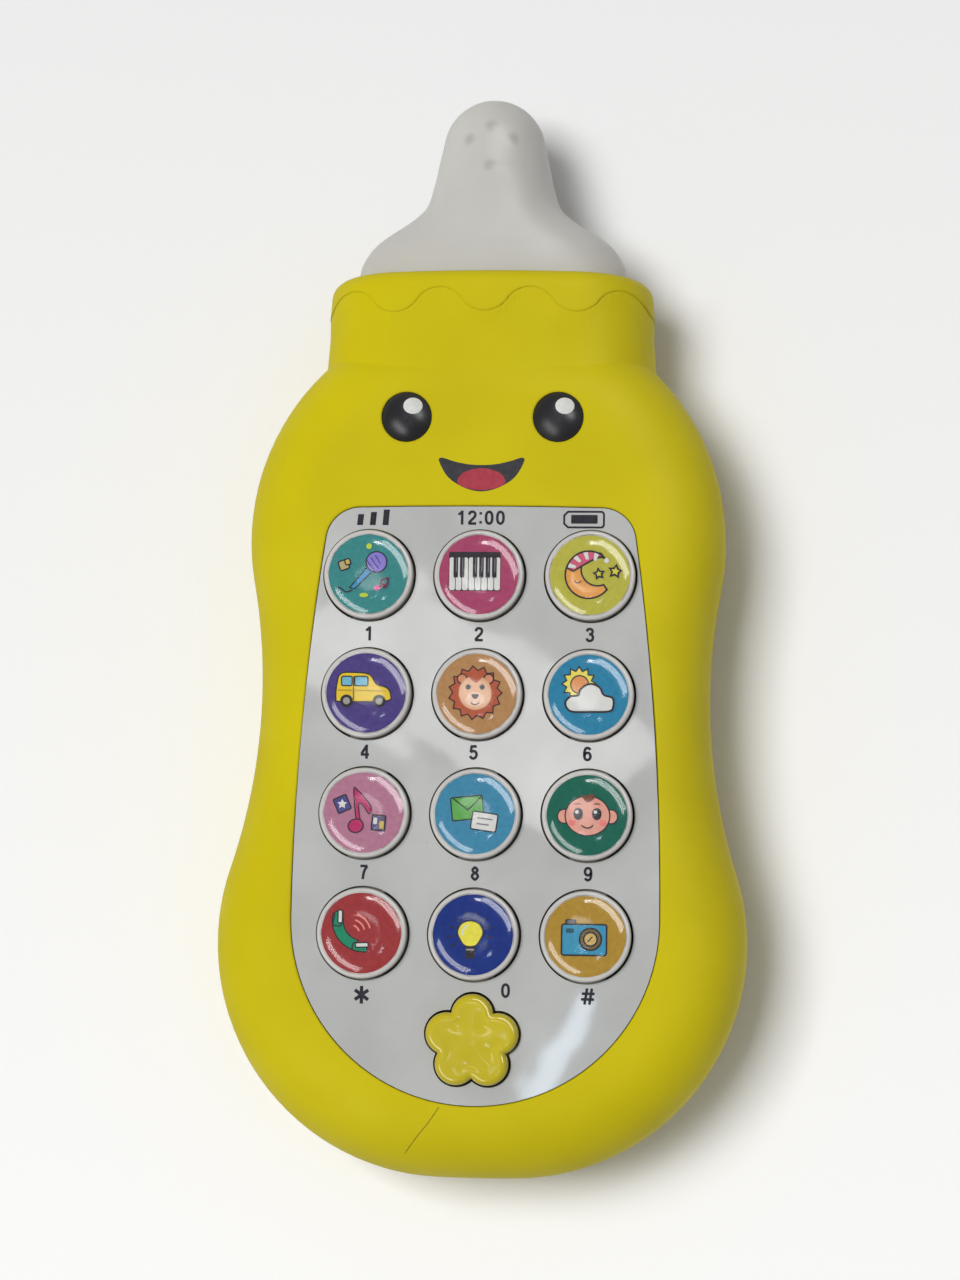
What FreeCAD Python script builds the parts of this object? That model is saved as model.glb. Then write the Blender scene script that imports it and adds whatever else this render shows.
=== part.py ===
import FreeCAD
import Part
import math
import os

# Toy phone in the shape of a feeding bottle, lying on its back. Millimetres.
# +Y runs from the round bottom edge to the tip of the teat, +Z is the face with the keys.
# The origin is under the middle of the length and width, on the surface it lies on.

# Overall form of the casing
belly_width = 85.2
belly_spread = 5.3
bottom_radius = 280.0
waist_radius = 93.0
shoulder_width = 77.2
shoulder_spread = 0.2
shoulder_drop = 21.6
shoulder_end_radius = 20.0
crown_radius = 80.0
front_round = 12.0
back_round = 10.0
wall = 2.2
front_wall = 3.2

# Lip between the two halves
lip_depth = 1.2
lip_width = 1.0
lip_gap = 0.1

# Collar under the teat and its embossed wave
collar_width = 55.0
collar_step = 0.6
collar_side_radius = 13.4
collar_rim_round = 3.0
collar_length = 21.2
collar_taper = 1.5
wave_relief = 0.3
wave_pitch = 14.6
wave_height = 3.9
wave_drop = 7.1

# Teat: each skirt step is a height and its share of the way from the nipple to the skirt's root
teat_height = 30.8
skirt_rim_width = 5.4
skirt_rim_depth = 3.8
skirt_steps = ((0.0, 1.0, 1.0), (2.6, 0.976, 1.0), (4.6, 0.894, 0.9), (6.0, 0.805, 0.75),
               (7.7, 0.635, 0.5), (10.2, 0.318, 0.27), (12.7, 0.107, 0.12))
nipple_start = 16.8
nipple_tip_radius = 8.4
nipple_taper = math.radians(12.0)
teat_wall = 2.0
groove_depth = 1.1
groove_gap = 0.1
flange_reach = 1.8
flange_thickness = 1.6
nub_radius = 1.1
nub_height = 0.25
nub_places = ((0.0, 2.5), (24.0, 0.4), (-24.0, 0.4), (0.0, -4.3), (44.0, -3.9), (-44.0, -4.3))

# Face panel
forehead = 17.6
panel_margin = 12.0
panel_round_radius = 29.0
panel_side_radius = 420.0
panel_top_radius = 800.0
panel_corner_radius = 5.5
panel_thickness = 1.4
panel_gap = 0.15

# Keys
key_columns = 3
key_rows = 4
key_top_margin = 11.1
key_radius = 7.1
key_column_gap = 3.4
key_row_gap = 1.7
key_hole_gap = 0.35
key_proud = 1.8
key_edge_round = 0.5
key_lug_reach = 1.5
key_lug_width = 6.0
key_lug_thickness = 1.4
key_rest_gap = 0.1
plunger_radius = 2.4
plunger_length = 1.6
plunger_gap = 0.3
lens_radius = 6.55
lens_height = 1.0
key_names = ("1", "2", "3", "4", "5", "6", "7", "8", "9", "star", "0", "hash")

# Flower button
flower_margin = 9.9
flower_gap = 0.6
flower_lobes = 5
flower_lobe_radius = 3.3
flower_lobe_offset = 4.2
flower_proud = 2.2
flower_lug_reach = 1.5
flower_edge_round = 0.8

# Eyes
eye_spacing = 24.26
eye_height = 14.4
eye_radius = 3.95
eye_gap = 0.1
eye_seat_depth = 1.8
eye_dome = 1.6
eye_stem_radius = 1.4
eye_stem_length = 2.4

# Keypad mat and board
board_drop = 8.0
board_thickness = 1.6
board_bay_gap = 2.5
board_edge_gap = 2.0
mat_thickness = 1.0
mat_inset = 0.3
mat_margin = 0.2
dome_base_radius = 3.9
dome_top_radius = 2.8
board_post_radius = 2.6
board_post_gap = 0.3
board_screw_radius = 1.0
board_screw_length = 6.0
board_screw_head_radius = 2.0
board_screw_head = 1.2
chip_radius = 5.0
chip_height = 1.3

# Casing screws
screw_board_gap = 0.3
screw_wall_gap = 3.1
screw_bottom_height = 25.0
screw_radius = 1.3
screw_length = 12.0
screw_head_radius = 2.8
screw_head = 2.0
screw_pilot_gap = 0.05
screw_hole_gap = 0.3
screw_well_gap = 0.4
screw_well_depth = 9.0
screw_shelf = 2.5
boss_wall = 2.0
pilot_extra = 2.0

# Battery bay and door
cell_radius = 5.25
cell_length = 43.7
cell_nub_radius = 1.9
cell_nub = 0.8
cell_gap = 0.35
cell_floor_gap = 0.15
contact_room = 1.75
contact_thickness = 0.4
contact_width = 8.0
contact_height = 6.5
contact_base_radius = 2.6
contact_tip_radius = 1.2
contact_gap = 0.05
bay_wall = 1.6
door_bottom_height = 16.8
door_thickness = 1.8
door_recess = 0.3
door_gap = 0.25
door_overlap = 1.85
door_screw_margin = 3.6
door_screw_radius = 1.1
door_screw_length = 5.0
door_screw_head_radius = 2.2
door_screw_head = 0.9
door_screw_swing_gap = 0.6
door_screw_boss_height = 8.0
door_screw_boss_overlap = 0.8
tab_spacing = 14.0
tab_width = 5.0
tab_reach = 2.5
tab_thickness = 1.2
tab_lift = 0.3
tab_root = 1.6
tab_gap = 0.3
tab_swing_room = 1.1

# Loudspeaker
speaker_radius = 14.0
speaker_drop = 1.0
speaker_rim_width = 2.0
speaker_rim_height = 1.6
speaker_depth = 8.4
speaker_magnet_radius = 7.5
speaker_magnet_height = 3.0
speaker_plate = 0.9
speaker_gap = 0.3
speaker_ring_wall = 1.4
speaker_ring_height = 3.0
cone_gap = 0.1
cone_thickness = 0.5
cone_depth = 2.6
cone_neck_radius = 3.6
grille_slots = 7
grille_pitch = 3.2
grille_width = 1.5
grille_radius = 10.5

# Lamp in the collar
lamp_radius = 2.5
lamp_flange_radius = 2.9
lamp_flange = 1.0
lamp_length = 7.5
lamp_gap = 0.1
lamp_drop = 13.7
lamp_rib_half_width = 9.0
lamp_rib = 1.6

# Places worked out from the sizes above
cell_x = cell_radius + cell_gap
bay_half_width = cell_x + cell_radius + cell_gap
cell_z = door_recess + door_thickness + cell_floor_gap + cell_radius
bay_roof_z = cell_z + cell_radius + cell_gap
board_low_z = bay_roof_z + bay_wall + board_bay_gap
board_top_z = board_low_z + board_thickness
ceiling_z = board_top_z + board_drop
casing_depth = ceiling_z + front_wall
mid_z = casing_depth / 2
collar_thickness = casing_depth - 2 * collar_step
key_pitch_x = 2 * key_radius + key_column_gap
key_pitch_y = 2 * (key_radius + key_lug_reach) + key_row_gap
key_field = (key_rows - 1) * key_pitch_y
flower_radius = flower_lobe_offset + flower_lobe_radius
flower_to_key = flower_radius + flower_gap + key_radius + key_lug_reach
panel_length = panel_margin + flower_margin + flower_to_key + key_field + key_top_margin
overall_length = panel_length + forehead + collar_length + teat_height
bottom_y = -overall_length / 2
tip_y = overall_length / 2
collar_top_y = tip_y - teat_height
collar_low_y = collar_top_y - collar_length
belly_radius = belly_width / 2 - belly_spread
shoulder_radius = shoulder_width / 2 - shoulder_spread
shoulder_y = collar_low_y - shoulder_drop
bottom_centre_y = bottom_y + bottom_radius
belly_y = bottom_centre_y - math.sqrt((bottom_radius - belly_radius) ** 2 - belly_spread ** 2)
skirt_half_width = collar_width / 2 - skirt_rim_width
skirt_half_depth = collar_thickness / 2 - skirt_rim_depth
groove_half_width = skirt_half_width - groove_depth
groove_half_depth = skirt_half_depth - groove_depth
nipple_dome_y = tip_y - nipple_tip_radius
panel_seat_z = casing_depth - panel_thickness
panel_top_y = collar_low_y - forehead
panel_round_y = bottom_y + panel_margin + panel_round_radius
flower_y = bottom_y + panel_margin + flower_margin
first_key_y = panel_top_y - key_top_margin
key_hole_radius = key_radius + key_hole_gap
lug_top_z = ceiling_z - key_rest_gap
lug_low_z = lug_top_z - key_lug_thickness
plunger_z = lug_low_z - plunger_length
dome_top_z = plunger_z - plunger_gap
mat_top_z = board_top_z + mat_thickness
mat_half_width = key_pitch_x + dome_base_radius + mat_margin
board_half_width = mat_half_width + mat_inset
board_low_y = bottom_y + panel_margin + board_edge_gap
post_x = key_pitch_x / 2
post_rows = (first_key_y - 0.5 * key_pitch_y, first_key_y - 2.5 * key_pitch_y)
shelf_top_z = screw_well_depth + screw_shelf
pilot_radius = screw_radius + screw_pilot_gap
boss_radius = pilot_radius + boss_wall
well_radius = screw_head_radius + screw_well_gap
screw_x = board_half_width + screw_board_gap + boss_radius
screw_reach = shoulder_radius - wall - boss_radius - screw_wall_gap
screw_top_y = shoulder_y + math.sqrt(screw_reach ** 2 - (screw_x - shoulder_spread) ** 2)
screw_rows = (bottom_y + screw_bottom_height, first_key_y - 1.5 * key_pitch_y, screw_top_y)
speaker_y = shoulder_y - speaker_drop
bay_length = cell_length + cell_nub + 2 * contact_room
door_low_y = bottom_y + door_bottom_height
door_screw_y = door_low_y + door_screw_margin
door_boss_radius = door_screw_radius + door_screw_swing_gap + boss_wall
bay_low_y = door_screw_y + door_boss_radius - door_screw_boss_overlap + bay_wall
bay_high_y = bay_low_y + bay_length
door_high_y = bay_high_y + bay_wall
door_half_width = bay_half_width + door_overlap
door_inner_z = door_recess + door_thickness

UP = FreeCAD.Vector(0, 0, 1)
ALONG = FreeCAD.Vector(0, 1, 0)
ORIGIN = FreeCAD.Vector(0, 0, 0)
FAR = 2 * overall_length
TOUCH = 1e-4
SPARE = 1.0


def point(x, y, z=0.0):
    """Point in the phone's own frame."""
    return FreeCAD.Vector(x, y, z)


def block(x0, x1, y0, y1, z0, z1):
    """Block between two corners."""
    return Part.makeBox(x1 - x0, y1 - y0, z1 - z0, point(x0, y0, z0))


def bar(radius, x, y, z0, z1):
    """Upright round bar."""
    return Part.makeCylinder(radius, z1 - z0, point(x, y, z0))


def cone(low_radius, high_radius, x, y, z0, z1):
    """Upright round taper."""
    return Part.makeCone(low_radius, high_radius, z1 - z0, point(x, y, z0))


def fuse_all(shapes):
    """One solid from shapes that touch or overlap."""
    first = shapes[0]
    return first.fuse(shapes[1:]).removeSplitter()


def mirrored(shape):
    """The shape and its mirror image across the middle of the width."""
    return [shape, shape.mirror(ORIGIN, point(1, 0))]


def arc(centre, radius, start, end):
    """Arc in the XY plane, anticlockwise between two angles."""
    circle = Part.Circle(point(centre[0], centre[1]), UP, radius)
    return Part.Arc(circle, start, end).toShape()


def heading(start, end):
    """Angle of the line from one point to another."""
    return math.atan2(end[1] - start[1], end[0] - start[0])


def face_of(edges):
    """Flat face inside a closed run of edges."""
    return Part.Face(Part.Wire(Part.__sortEdges__(edges)))


def circles_meet(centre_a, radius_a, centre_b, radius_b):
    """Crossing point of two circles that lies further to +X."""
    gap = math.hypot(centre_b[0] - centre_a[0], centre_b[1] - centre_a[1])
    along = (gap ** 2 + radius_a ** 2 - radius_b ** 2) / (2 * gap)
    across = math.sqrt(radius_a ** 2 - along ** 2)
    turn = heading(centre_a, centre_b)
    options = []
    for side in (-1, 1):
        x = centre_a[0] + along * math.cos(turn) - side * across * math.sin(turn)
        y = centre_a[1] + along * math.sin(turn) + side * across * math.cos(turn)
        options.append((x, y))
    return max(options)


def body_face(inset):
    """Outline of the body: a chain of tangent arcs from the bottom to the crown, moved inwards."""
    bottom = (0.0, bottom_centre_y)
    belly = (belly_spread, belly_y)
    shoulder = (shoulder_spread, shoulder_y)
    waist = circles_meet(belly, belly_radius + waist_radius, shoulder, shoulder_radius + waist_radius)
    turn = math.radians(45.0)
    step = shoulder_radius - shoulder_end_radius
    shoulder_end = (shoulder_spread + step * math.cos(turn), shoulder_y + step * math.sin(turn))
    reach = crown_radius - shoulder_end_radius
    crown = (0.0, shoulder_end[1] - math.sqrt(reach ** 2 - shoulder_end[0] ** 2))
    low = heading(bottom, belly)
    to_shoulder = heading(waist, shoulder) % (2 * math.pi)
    to_belly = heading(waist, belly) % (2 * math.pi)
    top = heading(crown, shoulder_end)
    right = [
        arc(belly, belly_radius - inset, low, heading(belly, waist)),
        arc(waist, waist_radius + inset, to_shoulder, to_belly),
        arc(shoulder, shoulder_radius - inset, heading(shoulder, waist), turn),
        arc(shoulder_end, shoulder_end_radius - inset, turn, top),
    ]
    edges = [arc(bottom, bottom_radius - inset, -math.pi - low, low)]
    edges.append(arc(crown, crown_radius - inset, top, math.pi - top))
    for edge in right:
        edges.extend(mirrored(edge))
    return face_of(edges)


def slab(face, low, high):
    """Flat outline raised between two levels."""
    base = face.copy()
    base.translate(point(0, 0, low))
    return base.extrude(point(0, 0, high - low))


def round_rim(solid, level, radius):
    """Round every edge that lies flat at a level."""
    rim = []
    for edge in solid.Edges:
        box = edge.BoundBox
        if abs(box.ZMin - level) < TOUCH and abs(box.ZMax - level) < TOUCH:
            rim.append(edge)
    return solid.makeFillet(radius, rim)


def oval_face(half_width, half_depth, side_radius, y):
    """Oval of four tangent arcs across the length, centred on the parting line."""
    reach = half_width - side_radius
    flat_radius = (reach ** 2 + half_depth ** 2 - side_radius ** 2) / (2 * (half_depth - side_radius))
    swing = math.atan2(reach, flat_radius - half_depth)
    quarter = math.pi / 2
    edges = [
        arc((0, half_depth - flat_radius), flat_radius, quarter - swing, quarter + swing),
        arc((0, flat_radius - half_depth), flat_radius, -quarter - swing, -quarter + swing),
        arc((reach, 0), side_radius, swing - quarter, quarter - swing),
        arc((-reach, 0), side_radius, quarter + swing, 3 * quarter - swing),
    ]
    face = face_of(edges)
    face.rotate(ORIGIN, point(1, 0), 90)
    face.translate(point(0, y, mid_z))
    return face


def collar_half_width(y):
    """Half width of the collar at a place along it; it narrows towards the rim."""
    return collar_width / 2 - collar_taper * (y - collar_low_y) / collar_length


def collar(inset, low_y, high_y, rim_round):
    """Collar as a tapered oval along the length, its far rim rounded."""
    half_depth = collar_thickness / 2 - inset
    ends = []
    for y in (low_y, high_y):
        end = oval_face(collar_half_width(y) - inset, half_depth, collar_side_radius - inset, y)
        ends.append(end.OuterWire)
    solid = Part.makeLoft(ends, True, True)
    if rim_round > 0:
        rim = [edge for edge in solid.Edges if edge.BoundBox.YMin > high_y - TOUCH]
        solid = solid.makeFillet(rim_round, rim)
    return solid


def wave_prism():
    """Everything on the teat's side of the wavy edge of the band."""
    half = wave_pitch / 2
    middle_y = collar_top_y - wave_drop + wave_height / 2
    count = int(collar_width / 2 / half) + 1
    edges = []
    for step in range(-count, count + 1):
        x = step * half
        peak = wave_height / 2 if step % 2 else -wave_height / 2
        ends = (point(x - half / 2, middle_y), point(x + half / 2, middle_y))
        edges.append(Part.Arc(ends[0], point(x, middle_y + peak), ends[1]).toShape())
    end_x = (count + 0.5) * half
    top_y = collar_top_y + wave_height
    corners = [point(-end_x, middle_y), point(-end_x, top_y), point(end_x, top_y), point(end_x, middle_y)]
    for start, end in zip(corners[:-1], corners[1:]):
        edges.append(Part.makeLine(start, end))
    return slab(face_of(edges), -wall, casing_depth + wall)


def union_prism(inset, low, high):
    """Body and collar outlines together, moved inwards and raised between two levels."""
    foot = collar_half_width(collar_low_y) - inset
    rim = collar_half_width(collar_top_y) - inset
    rim_y = collar_top_y - inset
    corners = [point(-foot, collar_low_y), point(foot, collar_low_y), point(rim, rim_y), point(-rim, rim_y)]
    sides = [Part.makeLine(start, end) for start, end in zip(corners, corners[1:] + corners[:1])]
    neck = slab(face_of(sides), low, high)
    return slab(body_face(inset), low, high).fuse(neck)


def casing_forms():
    """Outer form of the whole casing and the hollow inside it."""
    body = slab(body_face(0.0), 0.0, casing_depth)
    body = round_rim(body, casing_depth, front_round)
    body = round_rim(body, 0.0, back_round)
    neck = collar(0.0, collar_low_y, collar_top_y - collar_rim_round, 0.0)
    band_low_y = collar_top_y - wave_drop - wave_height
    band = collar(-wave_relief, band_low_y, collar_top_y, collar_rim_round)
    band = band.common(wave_prism())
    outer = body.fuse([neck, band])
    hollow = slab(body_face(wall), wall, ceiling_z)
    hollow = round_rim(hollow, ceiling_z, front_round - front_wall)
    hollow = round_rim(hollow, wall, back_round - wall)
    neck_hollow = collar(wall, collar_low_y, collar_top_y - wall, 0.0)
    return outer, hollow.fuse(neck_hollow)


def ellipse_wire(half_width, half_depth, y):
    """Ellipse across the length, centred on the parting line."""
    curve = Part.Ellipse(ORIGIN, half_width, half_depth)
    wire = Part.Wire([curve.toShape()])
    wire.rotate(ORIGIN, point(1, 0), 90)
    wire.translate(point(0, y, mid_z))
    return wire


def ellipse_bar(half_width, half_depth, y0, y1):
    """Straight bar of elliptical section along the length."""
    return Part.Face(ellipse_wire(half_width, half_depth, y0)).extrude(point(0, y1 - y0))


def nipple_radius(inset, y):
    """Radius of the tapered nipple at a place along it, moved inwards."""
    tip_radius = nipple_tip_radius - inset
    tangent_y = nipple_dome_y + tip_radius * math.sin(nipple_taper)
    return tip_radius * math.cos(nipple_taper) + (tangent_y - y) * math.tan(nipple_taper)


def teat_form(inset):
    """Skirt lofted from ovals to a round nipple with a domed tip, moved inwards."""
    tip_radius = nipple_tip_radius - inset
    tangent_y = nipple_dome_y + tip_radius * math.sin(nipple_taper)
    start_y = collar_top_y + nipple_start
    start_radius = nipple_radius(inset, start_y)
    end = nipple_radius(0.0, start_y)
    wires = []
    for height, width_share, depth_share in skirt_steps:
        half_width = end + width_share * (skirt_half_width - end) - inset
        half_depth = end + depth_share * (skirt_half_depth - end) - inset
        wires.append(ellipse_wire(half_width, half_depth, collar_top_y + height))
    wires.append(ellipse_wire(start_radius, start_radius - TOUCH, start_y))
    skirt = Part.makeLoft(wires, True)
    corner = point(0, start_y)
    shoulder_point = point(start_radius, start_y)
    tangent = point(nipple_radius(inset, tangent_y), tangent_y)
    middle = math.pi / 4
    dome_point = point(tip_radius * math.cos(middle), nipple_dome_y + tip_radius * math.sin(middle))
    tip = point(0, nipple_dome_y + tip_radius)
    edges = [
        Part.makeLine(corner, shoulder_point),
        Part.makeLine(shoulder_point, tangent),
        Part.Arc(tangent, dome_point, tip).toShape(),
        Part.makeLine(tip, corner),
    ]
    nipple = Part.Face(Part.Wire(edges)).revolve(ORIGIN, ALONG, 360)
    nipple.translate(point(0, 0, mid_z))
    return skirt.fuse(nipple)


def make_nub(turn, rise):
    """Small nub on the nipple, at a turn in degrees and a height above the dome's centre."""
    if rise > nipple_tip_radius * math.sin(nipple_taper):
        surface = math.sqrt(nipple_tip_radius ** 2 - rise ** 2)
    else:
        surface = nipple_radius(0.0, nipple_dome_y + rise)
    reach = surface + nub_height - nub_radius
    x = reach * math.sin(math.radians(turn))
    z = reach * math.cos(math.radians(turn))
    return Part.makeSphere(nub_radius, point(x, nipple_dome_y + rise, mid_z + z))


def make_teat():
    """Soft hollow teat whose grooved root is clamped in the end wall of the collar."""
    groove_y = collar_top_y - wall
    flange_y = groove_y - groove_gap - flange_thickness
    flange_width = groove_half_width + flange_reach
    flange_depth = groove_half_depth + flange_reach
    body = teat_form(0.0)
    neck = ellipse_bar(groove_half_width, groove_half_depth, flange_y, collar_top_y)
    flange = ellipse_bar(flange_width, flange_depth, flange_y, groove_y - groove_gap)
    bore_width = groove_half_width - teat_wall
    bore_depth = groove_half_depth - teat_wall
    bore = ellipse_bar(bore_width, bore_depth, flange_y - SPARE, collar_top_y + TOUCH)
    solid = body.fuse([neck, flange]).cut([teat_form(teat_wall), bore])
    return solid.fuse([make_nub(turn, rise) for turn, rise in nub_places])


def panel_face(grow):
    """Face panel: a round lower end, long bowed sides and a slightly bowed top edge."""
    low = (0.0, panel_round_y)
    side = (panel_round_radius - panel_side_radius, panel_round_y)
    top = (0.0, panel_top_y - panel_top_radius)
    corner = circles_meet(side, panel_side_radius + grow, top, panel_top_radius + grow)
    from_side = heading(side, corner)
    from_top = heading(top, corner)
    edges = [
        arc(low, panel_round_radius + grow, math.pi, 2 * math.pi),
        arc(top, panel_top_radius + grow, from_top, math.pi - from_top),
    ]
    edges.extend(mirrored(arc(side, panel_side_radius + grow, 0.0, from_side)))
    return face_of(edges)


def panel_slab(grow, low, high):
    """Face panel outline raised between two levels, its top corners rounded."""
    solid = slab(panel_face(grow), low, high)
    corners = []
    for edge in solid.Edges:
        box = edge.BoundBox
        if box.ZLength > (high - low) / 2 and box.YMin > panel_round_y + panel_round_radius:
            corners.append(edge)
    return solid.makeFillet(panel_corner_radius + grow, corners)


def key_places():
    """Name and middle of each of the twelve round keys, row by row."""
    places = []
    for index, name in enumerate(key_names):
        row, column = divmod(index, key_columns)
        x = (column - (key_columns - 1) / 2) * key_pitch_x
        places.append((name, x, first_key_y - row * key_pitch_y))
    return places


def flower_face(grow):
    """Flower of equal round lobes, one pointing to the teat."""
    lobe_radius = flower_lobe_radius + grow
    half = math.pi / flower_lobes
    notch = flower_lobe_offset * math.cos(half)
    notch += math.sqrt(lobe_radius ** 2 - (flower_lobe_offset * math.sin(half)) ** 2)
    edges = []
    for step in range(flower_lobes):
        turn = math.pi / 2 + 2 * half * step
        reach = flower_lobe_offset + lobe_radius
        places = []
        for angle, radius in ((turn - half, notch), (turn, reach), (turn + half, notch)):
            places.append(point(radius * math.cos(angle), flower_y + radius * math.sin(angle)))
        edges.append(Part.Arc(places[0], places[1], places[2]).toShape())
    return face_of(edges)


def boss_places():
    """Middle of each of the six casing screws."""
    return [(side * screw_x, y) for y in screw_rows for side in (-1, 1)]


def post_places():
    """Middle of each of the four board posts, between the keys."""
    return [(side * post_x, y) for y in post_rows for side in (-1, 1)]


def tab_places():
    """Middle of each door tab across the width."""
    return (-tab_spacing / 2, tab_spacing / 2)


def lamp_rib_y():
    """Lower side of the rib that carries the lamp."""
    return collar_top_y - lamp_drop


def lamp_rib_block(z0, z1):
    """Rib across the collar with the lamp's round seat."""
    y = lamp_rib_y()
    rib = block(-lamp_rib_half_width, lamp_rib_half_width, y, y + lamp_rib, z0, z1)
    seat = Part.makeCylinder(lamp_radius + lamp_gap, lamp_rib, point(0, y, mid_z), ALONG)
    return rib.cut(seat)


def teat_hole():
    """Hole in the end wall of the collar for the teat's groove."""
    half_width = groove_half_width + groove_gap
    half_depth = groove_half_depth + groove_gap
    return ellipse_bar(half_width, half_depth, collar_top_y - 2 * wall, collar_top_y + wall)


def make_front(outer, hollow):
    """Front half: curved shell, panel recess, key holes, eye seats, screw bosses and board posts."""
    half = block(-FAR, FAR, -FAR, FAR, mid_z, FAR)
    shell = outer.common(half).cut(hollow)
    inside = [lamp_rib_block(mid_z, ceiling_z)]
    for x, y in boss_places():
        inside.append(bar(boss_radius, x, y, shelf_top_z, ceiling_z + wall / 2))
    for x, y in post_places():
        inside.append(bar(board_post_radius, x, y, board_top_z, ceiling_z + wall / 2))
    shell = shell.fuse(inside)
    cuts = [panel_slab(panel_gap, panel_seat_z, FAR), teat_hole()]
    groove = union_prism(wall - lip_width - lip_gap, mid_z, mid_z + lip_depth + lip_gap)
    core = union_prism(wall, mid_z, mid_z + lip_depth + lip_gap)
    for x, y in boss_places():
        core = core.fuse(bar(boss_radius, x, y, mid_z, mid_z + lip_depth + lip_gap))
    cuts.append(groove.cut(core))
    for name, x, y in key_places():
        cuts.append(bar(key_hole_radius, x, y, plunger_z, FAR))
    cuts.append(slab(flower_face(key_hole_gap), plunger_z, FAR))
    for x, y in boss_places():
        pilot_top_z = screw_well_depth + screw_length + pilot_extra
        cuts.append(bar(pilot_radius, x, y, shelf_top_z, pilot_top_z))
    for x, y in post_places():
        depth = board_screw_length - board_thickness + pilot_extra
        cuts.append(bar(board_screw_radius + screw_pilot_gap, x, y, board_top_z, board_top_z + depth))
    for side in (-1, 1):
        x = side * eye_spacing / 2
        y = panel_top_y + eye_height
        cuts.append(bar(eye_radius + eye_gap, x, y, casing_depth - eye_seat_depth, FAR))
        cuts.append(bar(eye_stem_radius + eye_gap, x, y, ceiling_z - wall, FAR))
    return shell.cut(cuts)


def make_rear(outer, hollow):
    """Rear half: shell, lip, screw wells, battery bay, loudspeaker ring and grille."""
    half = block(-FAR, FAR, -FAR, FAR, -FAR, mid_z)
    shell = outer.common(half).cut(hollow)
    lip = union_prism(wall - lip_width, mid_z - wall, mid_z + lip_depth)
    lip = lip.cut(union_prism(wall, mid_z - wall, mid_z + lip_depth))
    inside = [lip, lamp_rib_block(wall, mid_z)]
    for x, y in boss_places():
        post = bar(well_radius + boss_wall, x, y, wall / 2, shelf_top_z)
        inside.append(post.common(outer))
    ring_radius = speaker_radius + speaker_gap + speaker_ring_wall
    ring = bar(ring_radius, 0, speaker_y, wall / 2, wall + speaker_ring_height)
    inside.append(ring.cut(bar(speaker_radius + speaker_gap, 0, speaker_y, wall, FAR)))
    recess_x = door_half_width + door_gap
    recess_low = door_low_y - door_gap
    recess_high = door_high_y + door_gap
    bay_x = bay_half_width + bay_wall
    end_y = recess_high + door_gap
    inside.append(block(-recess_x - bay_wall, recess_x + bay_wall, recess_low - bay_wall, end_y,
                        wall, wall + bay_wall))
    inside.append(block(-bay_x, bay_x, bay_low_y - bay_wall, end_y, wall, bay_roof_z + bay_wall))
    screw_hole = door_screw_radius + door_screw_swing_gap
    inside.append(bar(door_boss_radius, 0, door_screw_y, wall, door_screw_boss_height + bay_wall))
    shell = shell.fuse(inside)
    cuts = [block(-recess_x, recess_x, recess_low, recess_high, -wall, wall), teat_hole()]
    cuts.append(block(-bay_half_width, bay_half_width, bay_low_y, bay_high_y, 0, bay_roof_z))
    cuts.append(bar(screw_hole, 0, door_screw_y, 0, door_screw_boss_height))
    tab_low = wall + tab_lift - tab_gap
    for x in tab_places():
        side = tab_width / 2 + tab_gap
        cuts.append(block(x - side, x + side, bay_high_y - TOUCH, end_y + TOUCH, tab_low,
                          wall + tab_lift + tab_thickness + tab_swing_room))
    for x, y in boss_places():
        cuts.append(bar(well_radius, x, y, -wall, screw_well_depth))
        cuts.append(bar(screw_radius + screw_hole_gap, x, y, 0, FAR))
    for step in range(grille_slots):
        x = (step - (grille_slots - 1) / 2) * grille_pitch
        reach = math.sqrt(grille_radius ** 2 - x ** 2) - grille_width / 2
        half_slot = grille_width / 2
        low_y = speaker_y - reach
        high_y = speaker_y + reach
        cuts.append(block(x - half_slot, x + half_slot, low_y, high_y, -wall, 2 * wall))
        cuts.append(bar(half_slot, x, low_y, -wall, 2 * wall))
        cuts.append(bar(half_slot, x, high_y, -wall, 2 * wall))
    return shell.cut(cuts)


def make_panel():
    """Glossy face panel with its key holes."""
    cuts = [bar(key_hole_radius, x, y, 0, FAR) for name, x, y in key_places()]
    cuts.append(slab(flower_face(key_hole_gap), 0, FAR))
    return panel_slab(0.0, panel_seat_z, casing_depth).cut(cuts)


def make_key(x, y):
    """Round cap with two lugs that stop under the casing and a plunger for the rubber dome."""
    top = casing_depth + key_proud
    parts = [
        round_rim(bar(key_radius, x, y, lug_low_z, top), top, key_edge_round),
        block(x - key_lug_width / 2, x + key_lug_width / 2, y - key_radius - key_lug_reach,
              y + key_radius + key_lug_reach, lug_low_z, lug_top_z),
        bar(plunger_radius, x, y, plunger_z, lug_low_z),
    ]
    return fuse_all(parts)


def make_lens(x, y):
    """Clear domed lens on the picture of a key."""
    base = casing_depth + key_proud
    ball_radius = (lens_radius ** 2 + lens_height ** 2) / (2 * lens_height)
    ball = Part.makeSphere(ball_radius, point(x, y, base + lens_height - ball_radius))
    return ball.common(bar(lens_radius + SPARE, x, y, base, base + 2 * lens_height))


def make_flower():
    """Flower button with its lugs and plunger."""
    top = casing_depth + flower_proud
    reach = flower_radius + flower_lug_reach
    half = key_lug_width / 2
    parts = [
        round_rim(slab(flower_face(0.0), lug_low_z, top), top, flower_edge_round),
        block(-reach, reach, flower_y - half, flower_y + half, lug_low_z, lug_top_z),
        bar(plunger_radius, 0, flower_y, plunger_z, lug_low_z),
    ]
    return fuse_all(parts)


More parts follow.
